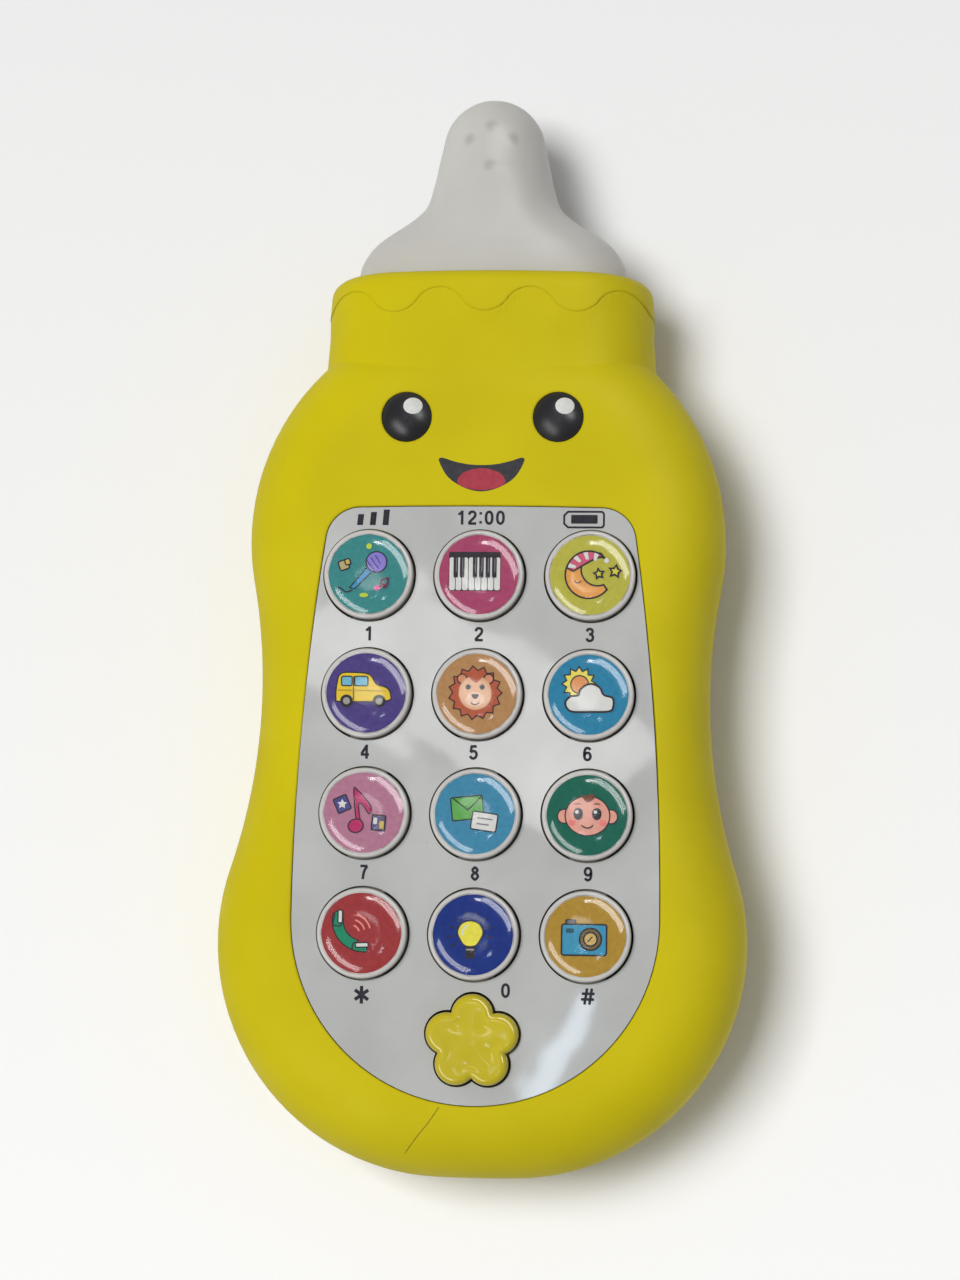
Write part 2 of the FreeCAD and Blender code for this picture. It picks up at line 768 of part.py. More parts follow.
def make_eye(side):
    """Domed black eye on a short stem through the casing."""
    x = side * eye_spacing / 2
    y = panel_top_y + eye_height
    seat = casing_depth - eye_seat_depth
    ball_radius = (eye_radius ** 2 + eye_dome ** 2) / (2 * eye_dome)
    ball = Part.makeSphere(ball_radius, point(x, y, casing_depth + eye_dome - ball_radius))
    dome = ball.common(bar(eye_radius + SPARE, x, y, casing_depth, casing_depth + 2 * eye_dome))
    rim = bar(eye_radius, x, y, seat, casing_depth)
    stem = bar(eye_stem_radius, x, y, seat - eye_stem_length, seat)
    return fuse_all([dome, rim, stem])


def make_mat():
    """Rubber mat with one dome under each button, slotted over the board posts."""
    low_y = board_low_y + mat_inset
    high_y = panel_top_y - mat_inset
    parts = [block(-mat_half_width, mat_half_width, low_y, high_y, board_top_z, mat_top_z)]
    places = [(x, y) for name, x, y in key_places()] + [(0.0, flower_y)]
    for x, y in places:
        parts.append(cone(dome_base_radius, dome_top_radius, x, y, mat_top_z, dome_top_z))
    mat = fuse_all(parts)
    holes = [bar(board_post_radius + board_post_gap, x, y, 0, FAR) for x, y in post_places()]
    return mat.cut(holes)


def make_board():
    """Main circuit board, screwed to the posts of the front half."""
    board = block(-board_half_width, board_half_width, board_low_y, panel_top_y, board_low_z, board_top_z)
    holes = [bar(board_screw_radius + screw_hole_gap, x, y, 0, FAR) for x, y in post_places()]
    return board.cut(holes)


def make_chip():
    """Epoxy blob over the sound chip, on the back of the board."""
    ball_radius = (chip_radius ** 2 + chip_height ** 2) / (2 * chip_height)
    ball = Part.makeSphere(ball_radius, point(0, speaker_y, board_low_z - chip_height + ball_radius))
    return ball.common(bar(chip_radius + SPARE, 0, speaker_y, board_low_z - 2 * chip_height, board_low_z))


def screw(x, y, head_z, radius, length, head_radius, head):
    """Pan-head screw that points up from its head's upper side."""
    pan = bar(head_radius, x, y, head_z - head, head_z)
    shank = bar(radius, x, y, head_z, head_z + length)
    return fuse_all([pan, shank])


def make_case_screws():
    """Six screws that hold the two halves together."""
    screws = []
    for x, y in boss_places():
        screws.append(screw(x, y, screw_well_depth, screw_radius, screw_length,
                            screw_head_radius, screw_head))
    return Part.makeCompound(screws)


def make_board_screws():
    """Four screws that hold the board to its posts."""
    screws = []
    for x, y in post_places():
        screws.append(screw(x, y, board_low_z, board_screw_radius, board_screw_length,
                            board_screw_head_radius, board_screw_head))
    return Part.makeCompound(screws)


def turned(points, y):
    """Solid turned from an outline of radius and height, standing on the middle line."""
    outline = [point(radius, 0, height) for radius, height in points]
    outline.append(outline[0])
    solid = Part.Face(Part.makePolygon(outline)).revolve(ORIGIN, UP, 360)
    solid.translate(point(0, y))
    return solid


def make_speaker_frame():
    """Loudspeaker basket with its rim and magnet."""
    rim = speaker_radius - speaker_rim_width
    back = wall + speaker_depth
    magnet = back - speaker_magnet_height
    plate = speaker_plate
    outline = [
        (rim, wall), (speaker_radius, wall), (speaker_radius, wall + speaker_rim_height),
        (speaker_magnet_radius + plate, magnet), (speaker_magnet_radius, magnet),
        (speaker_magnet_radius, back), (0, back),
        (0, magnet - plate), (speaker_magnet_radius, magnet - plate),
        (rim, wall + speaker_rim_height - plate),
    ]
    return turned(outline, speaker_y)


def make_speaker_cone():
    """Paper cone with its dust cap, inside the rim of the basket."""
    rim = speaker_radius - speaker_rim_width - cone_gap
    low = wall + cone_gap
    outline = [
        (rim, low), (rim, low + cone_thickness), (cone_neck_radius + cone_thickness, low + cone_depth),
        (0, low + cone_depth), (0, low + cone_depth - cone_thickness),
        (cone_neck_radius, low + cone_depth - cone_thickness), (rim - 2 * cone_thickness, low),
    ]
    return turned(outline, speaker_y)


def make_door():
    """Battery door with two tabs at its upper edge and a screw hole at the other end."""
    plate = block(-door_half_width, door_half_width, door_low_y, door_high_y, door_recess, door_inner_z)
    parts = [plate]
    tab_low = wall + tab_lift
    for x in tab_places():
        x0 = x - tab_width / 2
        x1 = x + tab_width / 2
        root_y = door_high_y - tab_root
        tab_top = tab_low + tab_thickness
        parts.append(block(x0, x1, root_y, door_high_y - tab_gap, door_inner_z, tab_top))
        parts.append(block(x0, x1, root_y, door_high_y + tab_reach, tab_low, tab_top))
    cuts = [
        bar(door_screw_radius + screw_pilot_gap, 0, door_screw_y, 0, FAR),
        bar(door_screw_head_radius + screw_pilot_gap, 0, door_screw_y, 0, door_recess + door_screw_head),
    ]
    return fuse_all(parts).cut(cuts)


def make_door_screw():
    """Captive screw of the battery door."""
    head_z = door_recess + door_screw_head
    return screw(0, door_screw_y, head_z, door_screw_radius, door_screw_length,
                 door_screw_head_radius, door_screw_head)


def make_cells():
    """Two round cells side by side, laid in opposite directions."""
    low_y = bay_low_y + contact_room
    cells = []
    for side in (-1, 1):
        x = side * cell_x
        body_y = low_y + (cell_nub if side < 0 else 0.0)
        nub_y = low_y if side < 0 else low_y + cell_length
        body = Part.makeCylinder(cell_radius, cell_length, point(x, body_y, cell_z), ALONG)
        nub = Part.makeCylinder(cell_nub_radius, cell_nub, point(x, nub_y, cell_z), ALONG)
        cells.append(fuse_all([body, nub]))
    return Part.makeCompound(cells)


def contact(x_low, x_high, bumps, end):
    """Metal plate on an end wall of the bay, pressed out towards the cells."""
    low_z = cell_z - contact_height / 2
    wall_y = bay_low_y if end < 0 else bay_high_y
    plate_y = wall_y if end < 0 else wall_y - contact_thickness
    parts = [block(x_low, x_high, plate_y, plate_y + contact_thickness, low_z, low_z + contact_height)]
    length = contact_room - contact_thickness - contact_gap
    for x in bumps:
        start = point(x, wall_y - end * contact_thickness, cell_z)
        parts.append(Part.makeCone(contact_base_radius, contact_tip_radius, length, start, point(0, -end)))
    return fuse_all(parts)


def make_lamp():
    """Lamp that shines into the teat: flange behind its rib, round body and domed end."""
    y = lamp_rib_y()
    length = lamp_length - lamp_radius
    flange = Part.makeCylinder(lamp_flange_radius, lamp_flange, point(0, y - lamp_flange, mid_z), ALONG)
    body = Part.makeCylinder(lamp_radius, length, point(0, y, mid_z), ALONG)
    dome = Part.makeSphere(lamp_radius, point(0, y + length, mid_z))
    return fuse_all([flange, body, dome])


os.makedirs("parts", exist_ok=True)
outer_form, hollow_form = casing_forms()
half_contact = contact_width / 2
nodes = {
    "front_casing": make_front(outer_form, hollow_form),
    "rear_casing": make_rear(outer_form, hollow_form),
    "face_panel": make_panel(),
    "flower_button": make_flower(),
    "eye_left": make_eye(-1),
    "eye_right": make_eye(1),
    "teat": make_teat(),
    "lamp": make_lamp(),
    "keypad_mat": make_mat(),
    "main_board": make_board(),
    "sound_chip": make_chip(),
    "case_screws": make_case_screws(),
    "board_screws": make_board_screws(),
    "speaker_frame": make_speaker_frame(),
    "speaker_cone": make_speaker_cone(),
    "battery_door": make_door(),
    "door_screw": make_door_screw(),
    "battery_cells": make_cells(),
    "contact_bridge": contact(-cell_x - half_contact, cell_x + half_contact, (-cell_x, cell_x), -1),
    "contact_negative": contact(-cell_x - half_contact, -cell_x + half_contact, (-cell_x,), 1),
    "contact_positive": contact(cell_x - half_contact, cell_x + half_contact, (cell_x,), 1),
}
for key_name, key_x, key_y in key_places():
    nodes["key_" + key_name] = make_key(key_x, key_y)
    nodes["lens_" + key_name] = make_lens(key_x, key_y)
for node_name, shape in nodes.items():
    shape.exportStep("parts/" + node_name + ".step")
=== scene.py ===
"""Dress the toy phone's frame: finishes, printed pictures, soft parts, stage, lamps and camera."""

from __future__ import annotations

import logging
import math
from collections.abc import Callable, Sequence
from dataclasses import dataclass, field, replace
from enum import Enum

import bmesh
import bpy
from mathutils import Matrix, Vector
from mathutils.bvhtree import BVHTree

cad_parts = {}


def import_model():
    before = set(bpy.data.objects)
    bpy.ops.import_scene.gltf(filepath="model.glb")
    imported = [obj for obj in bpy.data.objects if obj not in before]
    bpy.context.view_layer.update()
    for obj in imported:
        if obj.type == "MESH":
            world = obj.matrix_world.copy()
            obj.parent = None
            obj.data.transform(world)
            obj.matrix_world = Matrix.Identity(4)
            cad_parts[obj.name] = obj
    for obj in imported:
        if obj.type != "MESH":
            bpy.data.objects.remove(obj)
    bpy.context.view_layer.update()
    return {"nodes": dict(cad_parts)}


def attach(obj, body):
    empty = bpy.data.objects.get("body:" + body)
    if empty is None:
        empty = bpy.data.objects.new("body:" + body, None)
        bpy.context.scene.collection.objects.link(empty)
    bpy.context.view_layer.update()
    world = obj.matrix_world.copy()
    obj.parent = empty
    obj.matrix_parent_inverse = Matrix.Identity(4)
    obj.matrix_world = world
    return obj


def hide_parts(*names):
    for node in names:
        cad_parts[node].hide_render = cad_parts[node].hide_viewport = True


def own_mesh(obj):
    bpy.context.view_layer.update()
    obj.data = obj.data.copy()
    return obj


MM = 0.001
TURN = 2 * math.pi
QUARTER = math.pi / 2
NUB_MARK = "nub"
Tone = tuple[int, int, int]
Spot = tuple[float, float]
Point = tuple[float, float, float]
Outline = list[Spot]
Nodes = dict[str, bpy.types.Object]
Socket = bpy.types.NodeSocket
log = logging.getLogger("toy_phone")


def linear(tone: Tone) -> tuple[float, float, float, float]:
    """Turn a tone of 0 to 255 into the linear colour that the shader sockets take."""
    parts = [c / 255 for c in tone]
    r, g, b = (c / 12.92 if c <= 0.04045 else ((c + 0.055) / 1.055) ** 2.4 for c in parts)
    return r, g, b, 1.0


class Tree:
    """A node tree with one short call to add a node and to set or join its inputs."""

    def __init__(self, tree: bpy.types.NodeTree, prefix: str = "") -> None:
        """Take the tree and what the types of its nodes start with."""
        self.tree, self.prefix = tree, prefix

    def add(self, kind: str, **values: object) -> bpy.types.Node:
        """Add a node.

        Args:
            kind: the node's type without the prefix.
            values: its inputs, with _ for a space; a socket is joined, all else is set.

        Returns:
            The new node.
        """
        node = self.tree.nodes.new(self.prefix + kind)
        for name, value in values.items():
            self.give(node.inputs[name.replace("_", " ")], value)
        return node

    def give(self, target: Socket, value: object) -> None:
        """Join a socket to an input, or set the input to a number or a colour."""
        if isinstance(value, bpy.types.NodeSocket):
            self.tree.links.new(value, target)
        else:
            target.default_value = value


class Wiring(Tree):
    """A material's node tree on Object coordinates."""

    def __init__(self, name: str) -> None:
        """Start an empty material."""
        self.material = bpy.data.materials.new(name)
        self.material.use_nodes = True
        super().__init__(self.material.node_tree, "ShaderNode")
        self.tree.nodes.clear()
        self.place = self.add("TexCoord").outputs["Object"]

    def close(self, shader: Socket) -> bpy.types.Material:
        """Join the shader to the output and return the material."""
        self.add("OutputMaterial", Surface=shader)
        return self.material

    def noise(self, size: float, detail: float = 3.0) -> Socket:
        """Add noise with patches of a size in millimetres."""
        node = self.add("TexNoise", Scale=1 / (size * MM), Detail=detail, Vector=self.place)
        return node.outputs["Fac"]

    def ramp(self, source: Socket, stops: Sequence[tuple[float, Tone]],
             steps: bool = False) -> Socket:
        """Turn a value into a colour.

        Args:
            source: the value's socket.
            stops: places from 0 to 1 with their tones.
            steps: True for hard borders between the tones.

        Returns:
            The colour's socket.
        """
        node = self.add("ValToRGB", Fac=source)
        ramp = node.color_ramp
        ramp.interpolation = "CONSTANT" if steps else "LINEAR"
        while len(ramp.elements) < len(stops):
            ramp.elements.new(0.5)
        for element, (place, tone) in zip(ramp.elements, stops):
            element.position, element.color = place, linear(tone)
        return node.outputs["Color"]

    def mapped(self, source: Socket, low: float, high: float, **to: float) -> Socket:
        """Map a range of a value to 0 to 1, or to To_Min and To_Max."""
        node = self.add("MapRange", Value=source, From_Min=low, From_Max=high, **to)
        return node.outputs["Result"]

    def along(self, low: float, high: float) -> Socket:
        """Return how far a point lies along Y, from 0 to 1 between two places in millimetres."""
        parts = self.add("SeparateXYZ", Vector=self.place)
        return self.mapped(parts.outputs["Y"], low * MM, high * MM)

    def bump(self, height: Socket, reach: float, **under: Socket) -> Socket:
        """Raise a value by a reach in millimetres and return the normal."""
        node = self.add("Bump", Distance=reach * MM, Strength=1.0, Height=height, **under)
        return node.outputs["Normal"]

    def overlay(self, share: Socket, ground: Socket, tone: Tone) -> Socket:
        """Lay a tone over a ground by a share and return the colour."""
        mix = self.add("Mix")
        mix.data_type = "RGBA"
        for target, value in ((mix.inputs["Factor"], share), (mix.inputs[6], ground),
                              (mix.inputs[7], linear(tone))):
            self.give(target, value)
        return mix.outputs[2]


@dataclass(frozen=True)
class Finish:
    """A surface: two close tones mottled together, a gloss that wanders and a fine relief."""

    name: str
    tone: Tone
    other: Tone
    rough: float = 0.4
    rough_spread: float = 0.06
    patch: float = 16.0
    grain: float = 0.4
    relief: float = 0.004
    metal: float = 0.0
    coat: float = 0.0
    coat_rough: float = 0.05
    specular: float = 0.5
    glow_depth: float = 0.0
    glow_radius: float = 3.0

    def colour(self, wiring: Wiring) -> Socket:
        """Mottle the two tones together."""
        return wiring.ramp(wiring.noise(self.patch), ((0.35, self.tone), (0.65, self.other)))

    def bumps(self, wiring: Wiring) -> Socket:
        """Raise the fine grain of the surface."""
        return wiring.bump(wiring.noise(self.grain, 4.0), self.relief)

    def shader(self, wiring: Wiring) -> Socket:
        """Build the shader that the finish ends in."""
        rough = wiring.mapped(wiring.noise(self.patch / 2), 0.3, 0.7,
                              To_Min=self.rough - self.rough_spread,
                              To_Max=self.rough + self.rough_spread)
        normal = self.bumps(wiring)
        node = wiring.add("BsdfPrincipled", Base_Color=self.colour(wiring), Roughness=rough,
                          Metallic=self.metal, Coat_Weight=self.coat,
                          Coat_Roughness=self.coat_rough, Specular_IOR_Level=self.specular,
                          Subsurface_Weight=self.glow_depth, Subsurface_Radius=(1.0, 0.95, 0.85),
                          Subsurface_Scale=self.glow_radius * MM, Normal=normal,
                          Coat_Normal=normal)
        return node.outputs["BSDF"]

    def material(self) -> bpy.types.Material:
        """Return the finish's material, built the first time it is asked for."""
        made = bpy.data.materials.get(self.name)
        if made is None:
            wiring = Wiring(self.name)
            made = wiring.close(self.shader(wiring))
        return made


@dataclass(frozen=True)
class WavyFinish(Finish):
    """A finish whose surface also sinks and swells a little, as thin moulded sheet does."""

    swell: float = 18.0
    swell_height: float = 0.05
    soft_edge: float = 0.0

    def bumps(self, wiring: Wiring) -> Socket:
        """Lay the fine grain over the broad swell, on edges that the mould has softened."""
        under = {}
        if self.soft_edge:
            edge = wiring.add("Bevel", Radius=self.soft_edge * MM)
            edge.samples = 6
            under["Normal"] = edge.outputs["Normal"]
        broad = wiring.bump(wiring.noise(self.swell, 1.0), self.swell_height, **under)
        return wiring.bump(wiring.noise(self.grain, 4.0), self.relief, Normal=broad)


@dataclass(frozen=True)
class SpeckledFinish(WavyFinish):
    """A finish with a few fine specks of dust."""

    speck: Tone = (120, 116, 108)
    speck_size: float = 0.9
    speck_start: float = 0.82
    speck_edge: float = 0.03

    def colour(self, wiring: Wiring) -> Socket:
        """Lay specks over the mottled tones."""
        specks = wiring.mapped(wiring.noise(self.speck_size, 1.0), self.speck_start,
                               self.speck_start + self.speck_edge)
        return wiring.overlay(specks, super().colour(wiring), self.speck)


@dataclass(frozen=True)
class NubbedFinish(SpeckledFinish):
    """A speckled finish whose nubs, marked on the mesh, are painted a tone darker as painted shade
    of their relief.
    """

    # painted shade: the nubs' darker tone stands in for the shade that their relief shows in the
    # milky silicone
    nub: Tone = (170, 168, 161)

    def colour(self, wiring: Wiring) -> Socket:
        """Lay the nubs' darker tone, a painted shade, over the speckled ground."""
        mark = wiring.add("Attribute")
        mark.attribute_name = NUB_MARK
        return wiring.overlay(mark.outputs["Fac"], super().colour(wiring), self.nub)


@dataclass(frozen=True)
class BandedFinish(Finish):
    """A finish in bands along Y, in millimetres from low to high."""

    bands: tuple[tuple[float, Tone], ...] = ()
    low: float = 0.0
    high: float = 1.0

    def colour(self, wiring: Wiring) -> Socket:
        """Set the bands side by side."""
        return wiring.ramp(wiring.along(self.low, self.high), self.bands, steps=True)


@dataclass(frozen=True)
class BoardFinish(Finish):
    """A lacquered circuit board with copper tracks under the lacquer."""

    track: Tone = (70, 128, 74)

    def colour(self, wiring: Wiring) -> Socket:
        """Draw tracks as the borders of a stretched brick pattern."""
        node = wiring.add("TexBrick", Scale=1 / (5 * MM), Mortar_Size=0.04, Brick_Width=0.9,
                          Row_Height=0.35, Color1=linear(self.tone), Color2=linear(self.other),
                          Mortar=linear(self.track), Vector=wiring.place)
        return node.outputs["Color"]


@dataclass(frozen=True)
class ClearFinish(Finish):
    """Clear cast resin: light goes straight through, and the wavy surface shines."""

    swell: float = 5.0
    swell_height: float = 0.03

    def shader(self, wiring: Wiring) -> Socket:
        """Mix a clear shader by the angle with a glossy one that only the outside shows."""
        normal = wiring.bump(wiring.noise(self.swell, 1.0), self.swell_height)
        outside = wiring.add("Math")
        outside.operation, outside.use_clamp = "SUBTRACT", True
        clear = wiring.add("BsdfTransparent", Color=linear(self.tone))
        shine = wiring.add("BsdfGlossy", Color=linear((255, 255, 255)), Roughness=self.rough,
                           Normal=normal)
        mix = wiring.add("MixShader", Fac=outside.outputs["Value"])
        for target, value in (
                (outside.inputs[0], wiring.add("Fresnel", IOR=1.5, Normal=normal).outputs["Fac"]),
                (outside.inputs[1], wiring.add("NewGeometry").outputs["Backfacing"]),
                (mix.inputs[1], clear.outputs["BSDF"]), (mix.inputs[2], shine.outputs["BSDF"])):
            wiring.give(target, value)
        return mix.outputs["Shader"]


def ink(name: str, tone: Tone | None = None) -> Finish:
    """Return a printed ink, a little uneven as pad printing is, of a tone or of its own one."""
    tone = tone or TINTS[name]
    other = tuple(min(255, c + 8) for c in tone)
    return Finish("ink_" + name, tone, other, rough=0.5, patch=0.8, grain=0.15, relief=0.001,
                  specular=0.1)


class Surface(Enum):
    """The phone's finishes, by piece."""

    YELLOW = WavyFinish("yellow_plastic", (200, 185, 4), (193, 178, 2), rough=0.6, patch=22,
                        grain=0.5, relief=0.006, specular=0.14, swell=24, swell_height=0.02,
                        soft_edge=0.7)
    SLOPE = replace(YELLOW, name="yellow_plastic_slope", soft_edge=0.0)
    PETAL = WavyFinish("glossy_yellow_plastic", (194, 177, 10), (187, 170, 6), rough=0.3,
                       coat=0.7, coat_rough=0.1, specular=0.3, relief=0.001, swell=5,
                       swell_height=0.01)
    PANEL = SpeckledFinish("glossy_white_panel", (183, 184, 182), (172, 173, 171), rough=0.22,
                           rough_spread=0.04, patch=15, coat=0.9, coat_rough=0.03, swell=14,
                           specular=0.3, relief=0.0006, swell_height=0.06)
    CAP = WavyFinish("white_key_plastic", (196, 193, 189), (189, 186, 182), rough=0.3, coat=0.2,
                     swell=6, swell_height=0.01)
    EYE = WavyFinish("glossy_black_plastic", (20, 20, 25), (26, 26, 31), rough=0.36, swell=5,
                     swell_height=0.01)
    LENS = ClearFinish("clear_resin", (252, 252, 252), (250, 250, 250), rough=0.12)
    SILICONE = NubbedFinish("milky_silicone", (192, 191, 186), (184, 182, 176), rough=0.44,
                            patch=26, relief=0.008, glow_depth=0.3, glow_radius=5.0, specular=0.4,
                            swell=12, swell_height=0.03, speck=(150, 144, 132), speck_start=0.8)
    RUBBER = WavyFinish("grey_mat_rubber", (150, 152, 154), (141, 143, 146), rough=0.62,
                        relief=0.01)
    BOARD = BoardFinish("green_board_lacquer", (34, 92, 50), (38, 98, 54), rough=0.3, coat=0.3)
    EPOXY = Finish("black_epoxy", (24, 24, 25), (34, 34, 36), rough=0.3, patch=3, relief=0.01)
    STEEL = Finish("plated_steel", (176, 176, 180), (160, 160, 165), rough=0.28, metal=1.0,
                   patch=6)
    NICKEL = Finish("nickel_strip", (190, 186, 176), (178, 174, 164), rough=0.24, metal=1.0,
                    patch=4)
    PAPER = Finish("speaker_paper", (46, 44, 42), (58, 55, 52), rough=0.85, patch=1.5, relief=0.03)
    LAMP = Finish("milky_lamp_epoxy", (226, 228, 230), (214, 218, 222), rough=0.12, patch=4,
                  glow_depth=0.4, glow_radius=1.5)
    CELL = BandedFinish("cell_wrapper", (40, 42, 46), (50, 52, 56), rough=0.26, coat=0.5,
                        low=-61.5, high=-16.5,
                        bands=((0.0, (176, 176, 178)), (0.04, (44, 46, 50)), (0.7, (188, 122, 62)),
                               (0.96, (176, 176, 178))))


TINTS: dict[str, Tone] = {
    "dark_grey": (42, 42, 48), "mouth_grey": (56, 56, 60), "tongue_pink": (160, 56, 70),
    "white": (208, 208, 204), "line": (42, 38, 44), "sea_blue": (54, 138, 186),
    "soft_violet": (128, 116, 196), "pale_sand": (176, 160, 110), "sand": (196, 170, 90),
    "rose": (206, 84, 140), "wine": (98, 44, 70), "lime": (178, 200, 60),
    "sheen_grey": (112, 108, 116), "moon_orange": (218, 150, 72), "cap_rose": (196, 84, 110),
    "star_yellow": (206, 196, 70), "car_yellow": (222, 188, 44), "glass_blue": (108, 172, 196),
    "car_shade": (170, 132, 30), "hub_grey": (150, 146, 140), "mane_brown": (172, 82, 54),
    "ear_tan": (200, 132, 96), "face_tan": (214, 164, 128), "muzzle": (226, 190, 164),
    "sun_yellow": (224, 210, 92), "sun_orange": (214, 140, 84), "note_magenta": (176, 40, 96),
    "night_blue": (74, 70, 128), "slate": (92, 86, 118), "leaf_green": (86, 158, 74),
    "card_grey": (120, 120, 124), "skin_pink": (216, 152, 134), "hair": (110, 56, 40),
    "cheek": (226, 120, 118), "receiver_green": (20, 128, 92), "blush": (226, 132, 120),
    "bulb_yellow": (222, 212, 66), "camera_grey": (96, 96, 104), "camera_blue": (52, 138, 172),
    "camera_dark": (34, 76, 92), "lens_ring": (108, 92, 60), "lens_glass": (196, 166, 96),
    "dirt_olive": (96, 88, 30),
}


def place(name: str, data: bpy.types.ID) -> bpy.types.Object:
    """Make an object and link it to the scene."""
    made = bpy.data.objects.new(name, data)
    bpy.context.scene.collection.objects.link(made)
    return made


def mesh_of(name: str, points: Sequence[Point],
            faces: Sequence[Sequence[int]] = ()) -> bpy.types.Mesh:
    """Make a mesh of points in millimetres and of faces."""
    mesh = bpy.data.meshes.new(name)
    mesh.from_pydata([Vector(p) * MM for p in points], [], faces)
    return mesh


def plain(piece: bpy.types.Object) -> None:
    """Turn an object with its modifiers into a plain mesh."""
    graph = bpy.context.evaluated_depsgraph_get()
    mesh = bpy.data.meshes.new_from_object(piece.evaluated_get(graph), depsgraph=graph)
    piece.modifiers.clear()
    piece.data = mesh


def faces_of(node: bpy.types.Object) -> BVHTree:
    """Return a node's faces, to measure on."""
    mesh = node.data
    return BVHTree.FromPolygons([v.co for v in mesh.vertices], [p.vertices for p in mesh.polygons])


class Solid:
    """A mesh in the making, in millimetres, with a finish on each part of it."""

    def __init__(self, name: str) -> None:
        """Start with no points."""
        self.name = name
        self.points: list[Point] = []
        self.faces: list[tuple[tuple[int, ...], int]] = []
        self.finishes: list[Finish] = []

    def skin(self, rings: Sequence[Sequence[Point]], finish: Finish,
             closed: bool = True) -> tuple[int, int]:
        """Join rings of equal point counts with faces.

        Args:
            rings: the rings in order.
            finish: the surface's finish.
            closed: True to join the last ring to the first.

        Returns:
            The first point's number and the finish's place in the list of materials.
        """
        if finish not in self.finishes:
            self.finishes.append(finish)
        slot = self.finishes.index(finish)
        start, size, count = len(self.points), len(rings[0]), len(rings)
        for ring in rings:
            self.points.extend(ring)
        for step in range(count if closed else count - 1):
            low, high = start + step * size, start + (step + 1) % count * size
            for i in range(size):
                j = (i + 1) % size
                self.faces.append(((low + i, low + j, high + j, high + i), slot))
        return start, slot

    def rings(self, rings: Sequence[Sequence[Point]], finish: Finish) -> None:
        """Skin rings of equal point counts into a solid with capped ends."""
        start, slot = self.skin(rings, finish, False)
        size = len(rings[0])
        last = start + (len(rings) - 1) * size
        self.faces.append((tuple(reversed(range(start, start + size))), slot))
        self.faces.append((tuple(range(last, last + size)), slot))

    def prism(self, outline: Outline, low: float, high: float, finish: Finish) -> None:
        """Raise a flat outline from one height to another."""
        self.rings([[(x, y, z) for x, y in outline] for z in (low, high)], finish)

    def band(self, outer: Outline, inner: Outline, low: float, high: float,
             finish: Finish) -> None:
        """Raise the strip between two outlines of equal point counts."""
        edges = ((outer, low), (outer, high), (inner, high), (inner, low))
        self.skin([[(x, y, z) for x, y in outline] for outline, z in edges], finish)

    def lathe(self, profile: Sequence[Spot], centre: Spot, finish: Finish,
              steps: int = 48) -> None:
        """Turn a profile of radius and height pairs round an upright axis in some facets."""
        self.rings([[(*polar(*centre, radius, TURN * i / steps), z) for i in range(steps)]
                    for radius, z in profile], finish)

    def object(self, sharp: float = 35.0) -> bpy.types.Object:
        """Make the Blender object.

        Args:
            sharp: edges that turn by more than this angle in degrees stay crisp.

        Returns:
            The object at the origin, with its place in its mesh.
        """
        mesh = mesh_of(self.name, self.points, [f for f, slot in self.faces])
        mesh.polygons.foreach_set("material_index", [slot for f, slot in self.faces])
        work = bmesh.new()
        work.from_mesh(mesh)
        bmesh.ops.remove_doubles(work, verts=work.verts, dist=1e-3 * MM)
        big = [f for f in work.faces if len(f.verts) > 4]
        bmesh.ops.triangulate(work, faces=big, ngon_method="EAR_CLIP")
        bmesh.ops.recalc_face_normals(work, faces=work.faces)
        work.to_mesh(mesh)
        work.free()
        for finish in self.finishes:
            mesh.materials.append(finish.material())
        mesh.polygons.foreach_set("use_smooth", [True] * len(mesh.polygons))
        mesh.set_sharp_from_angle(angle=math.radians(sharp))
        return place(self.name, mesh)


def settle(piece: bpy.types.Object, body: str, stands_for: Sequence[str] = ()) -> None:
    """Tie a finished piece to its body.

    Args:
        piece: the object.
        body: the body it moves with.
        stands_for: the frame's nodes that it replaces.
    """
    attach(piece, body)
    if stands_for:
        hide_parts(*stands_for)
    log.info("%s: %d faces on %s", piece.name, len(piece.data.polygons), body)


def paint(nodes: dict[str, bpy.types.Object], name: str, finish: Finish) -> None:
    """Give a node of the frame its finish."""
    slots = nodes[name].data.materials
    slots.clear()
    slots.append(finish.material())
    log.info("%s: finish %s", name, finish.name)


# Flat outlines, in millimetres


def polar(x: float, y: float, radius: float, turn: float) -> Spot:
    """Return the point at a distance and a turn, in radians, from a middle."""
    return x + radius * math.cos(turn), y + radius * math.sin(turn)


def turned(x: float, y: float, turn: float, points: Sequence[Spot]) -> Outline:
    """Turn points round the origin by an angle in degrees, then move them."""
    c, s = math.cos(math.radians(turn)), math.sin(math.radians(turn))
    return [(x + u * c - v * s, y + u * s + v * c) for u, v in points]


def oval(x: float, y: float, rx: float, ry: float, turn: float = 0.0, steps: int = 36) -> Outline:
    """Return an ellipse turned by an angle in degrees."""
    angles = [TURN * i / steps for i in range(steps)]
    return turned(x, y, turn, [(rx * math.cos(a), ry * math.sin(a)) for a in angles])


def disc(x: float, y: float, radius: float) -> Outline:
    """Return a circle."""
    return oval(x, y, radius, radius)


def tile(x: float, y: float, width: float, height: float, turn: float = 0.0,
         corner: float = 0.0) -> Outline:
    """Return a rectangle with round corners, turned by an angle in degrees."""
    made = []
    for quarter, (sx, sy) in enumerate(((1, 1), (-1, 1), (-1, -1), (1, -1))):
        middle = sx * (width / 2 - corner), sy * (height / 2 - corner)
        made += [polar(*middle, corner, QUARTER * (quarter + i / 5))
                 for i in range(6 if corner else 1)]
    return turned(x, y, turn, made)


def star(x: float, y: float, outer: float, inner: float, points: int,
         turn: float = 90.0) -> Outline:
    """Return a star with its first point at an angle in degrees."""
    return [polar(x, y, inner if i % 2 else outer, math.radians(turn) + math.pi * i / points)
            for i in range(2 * points)]


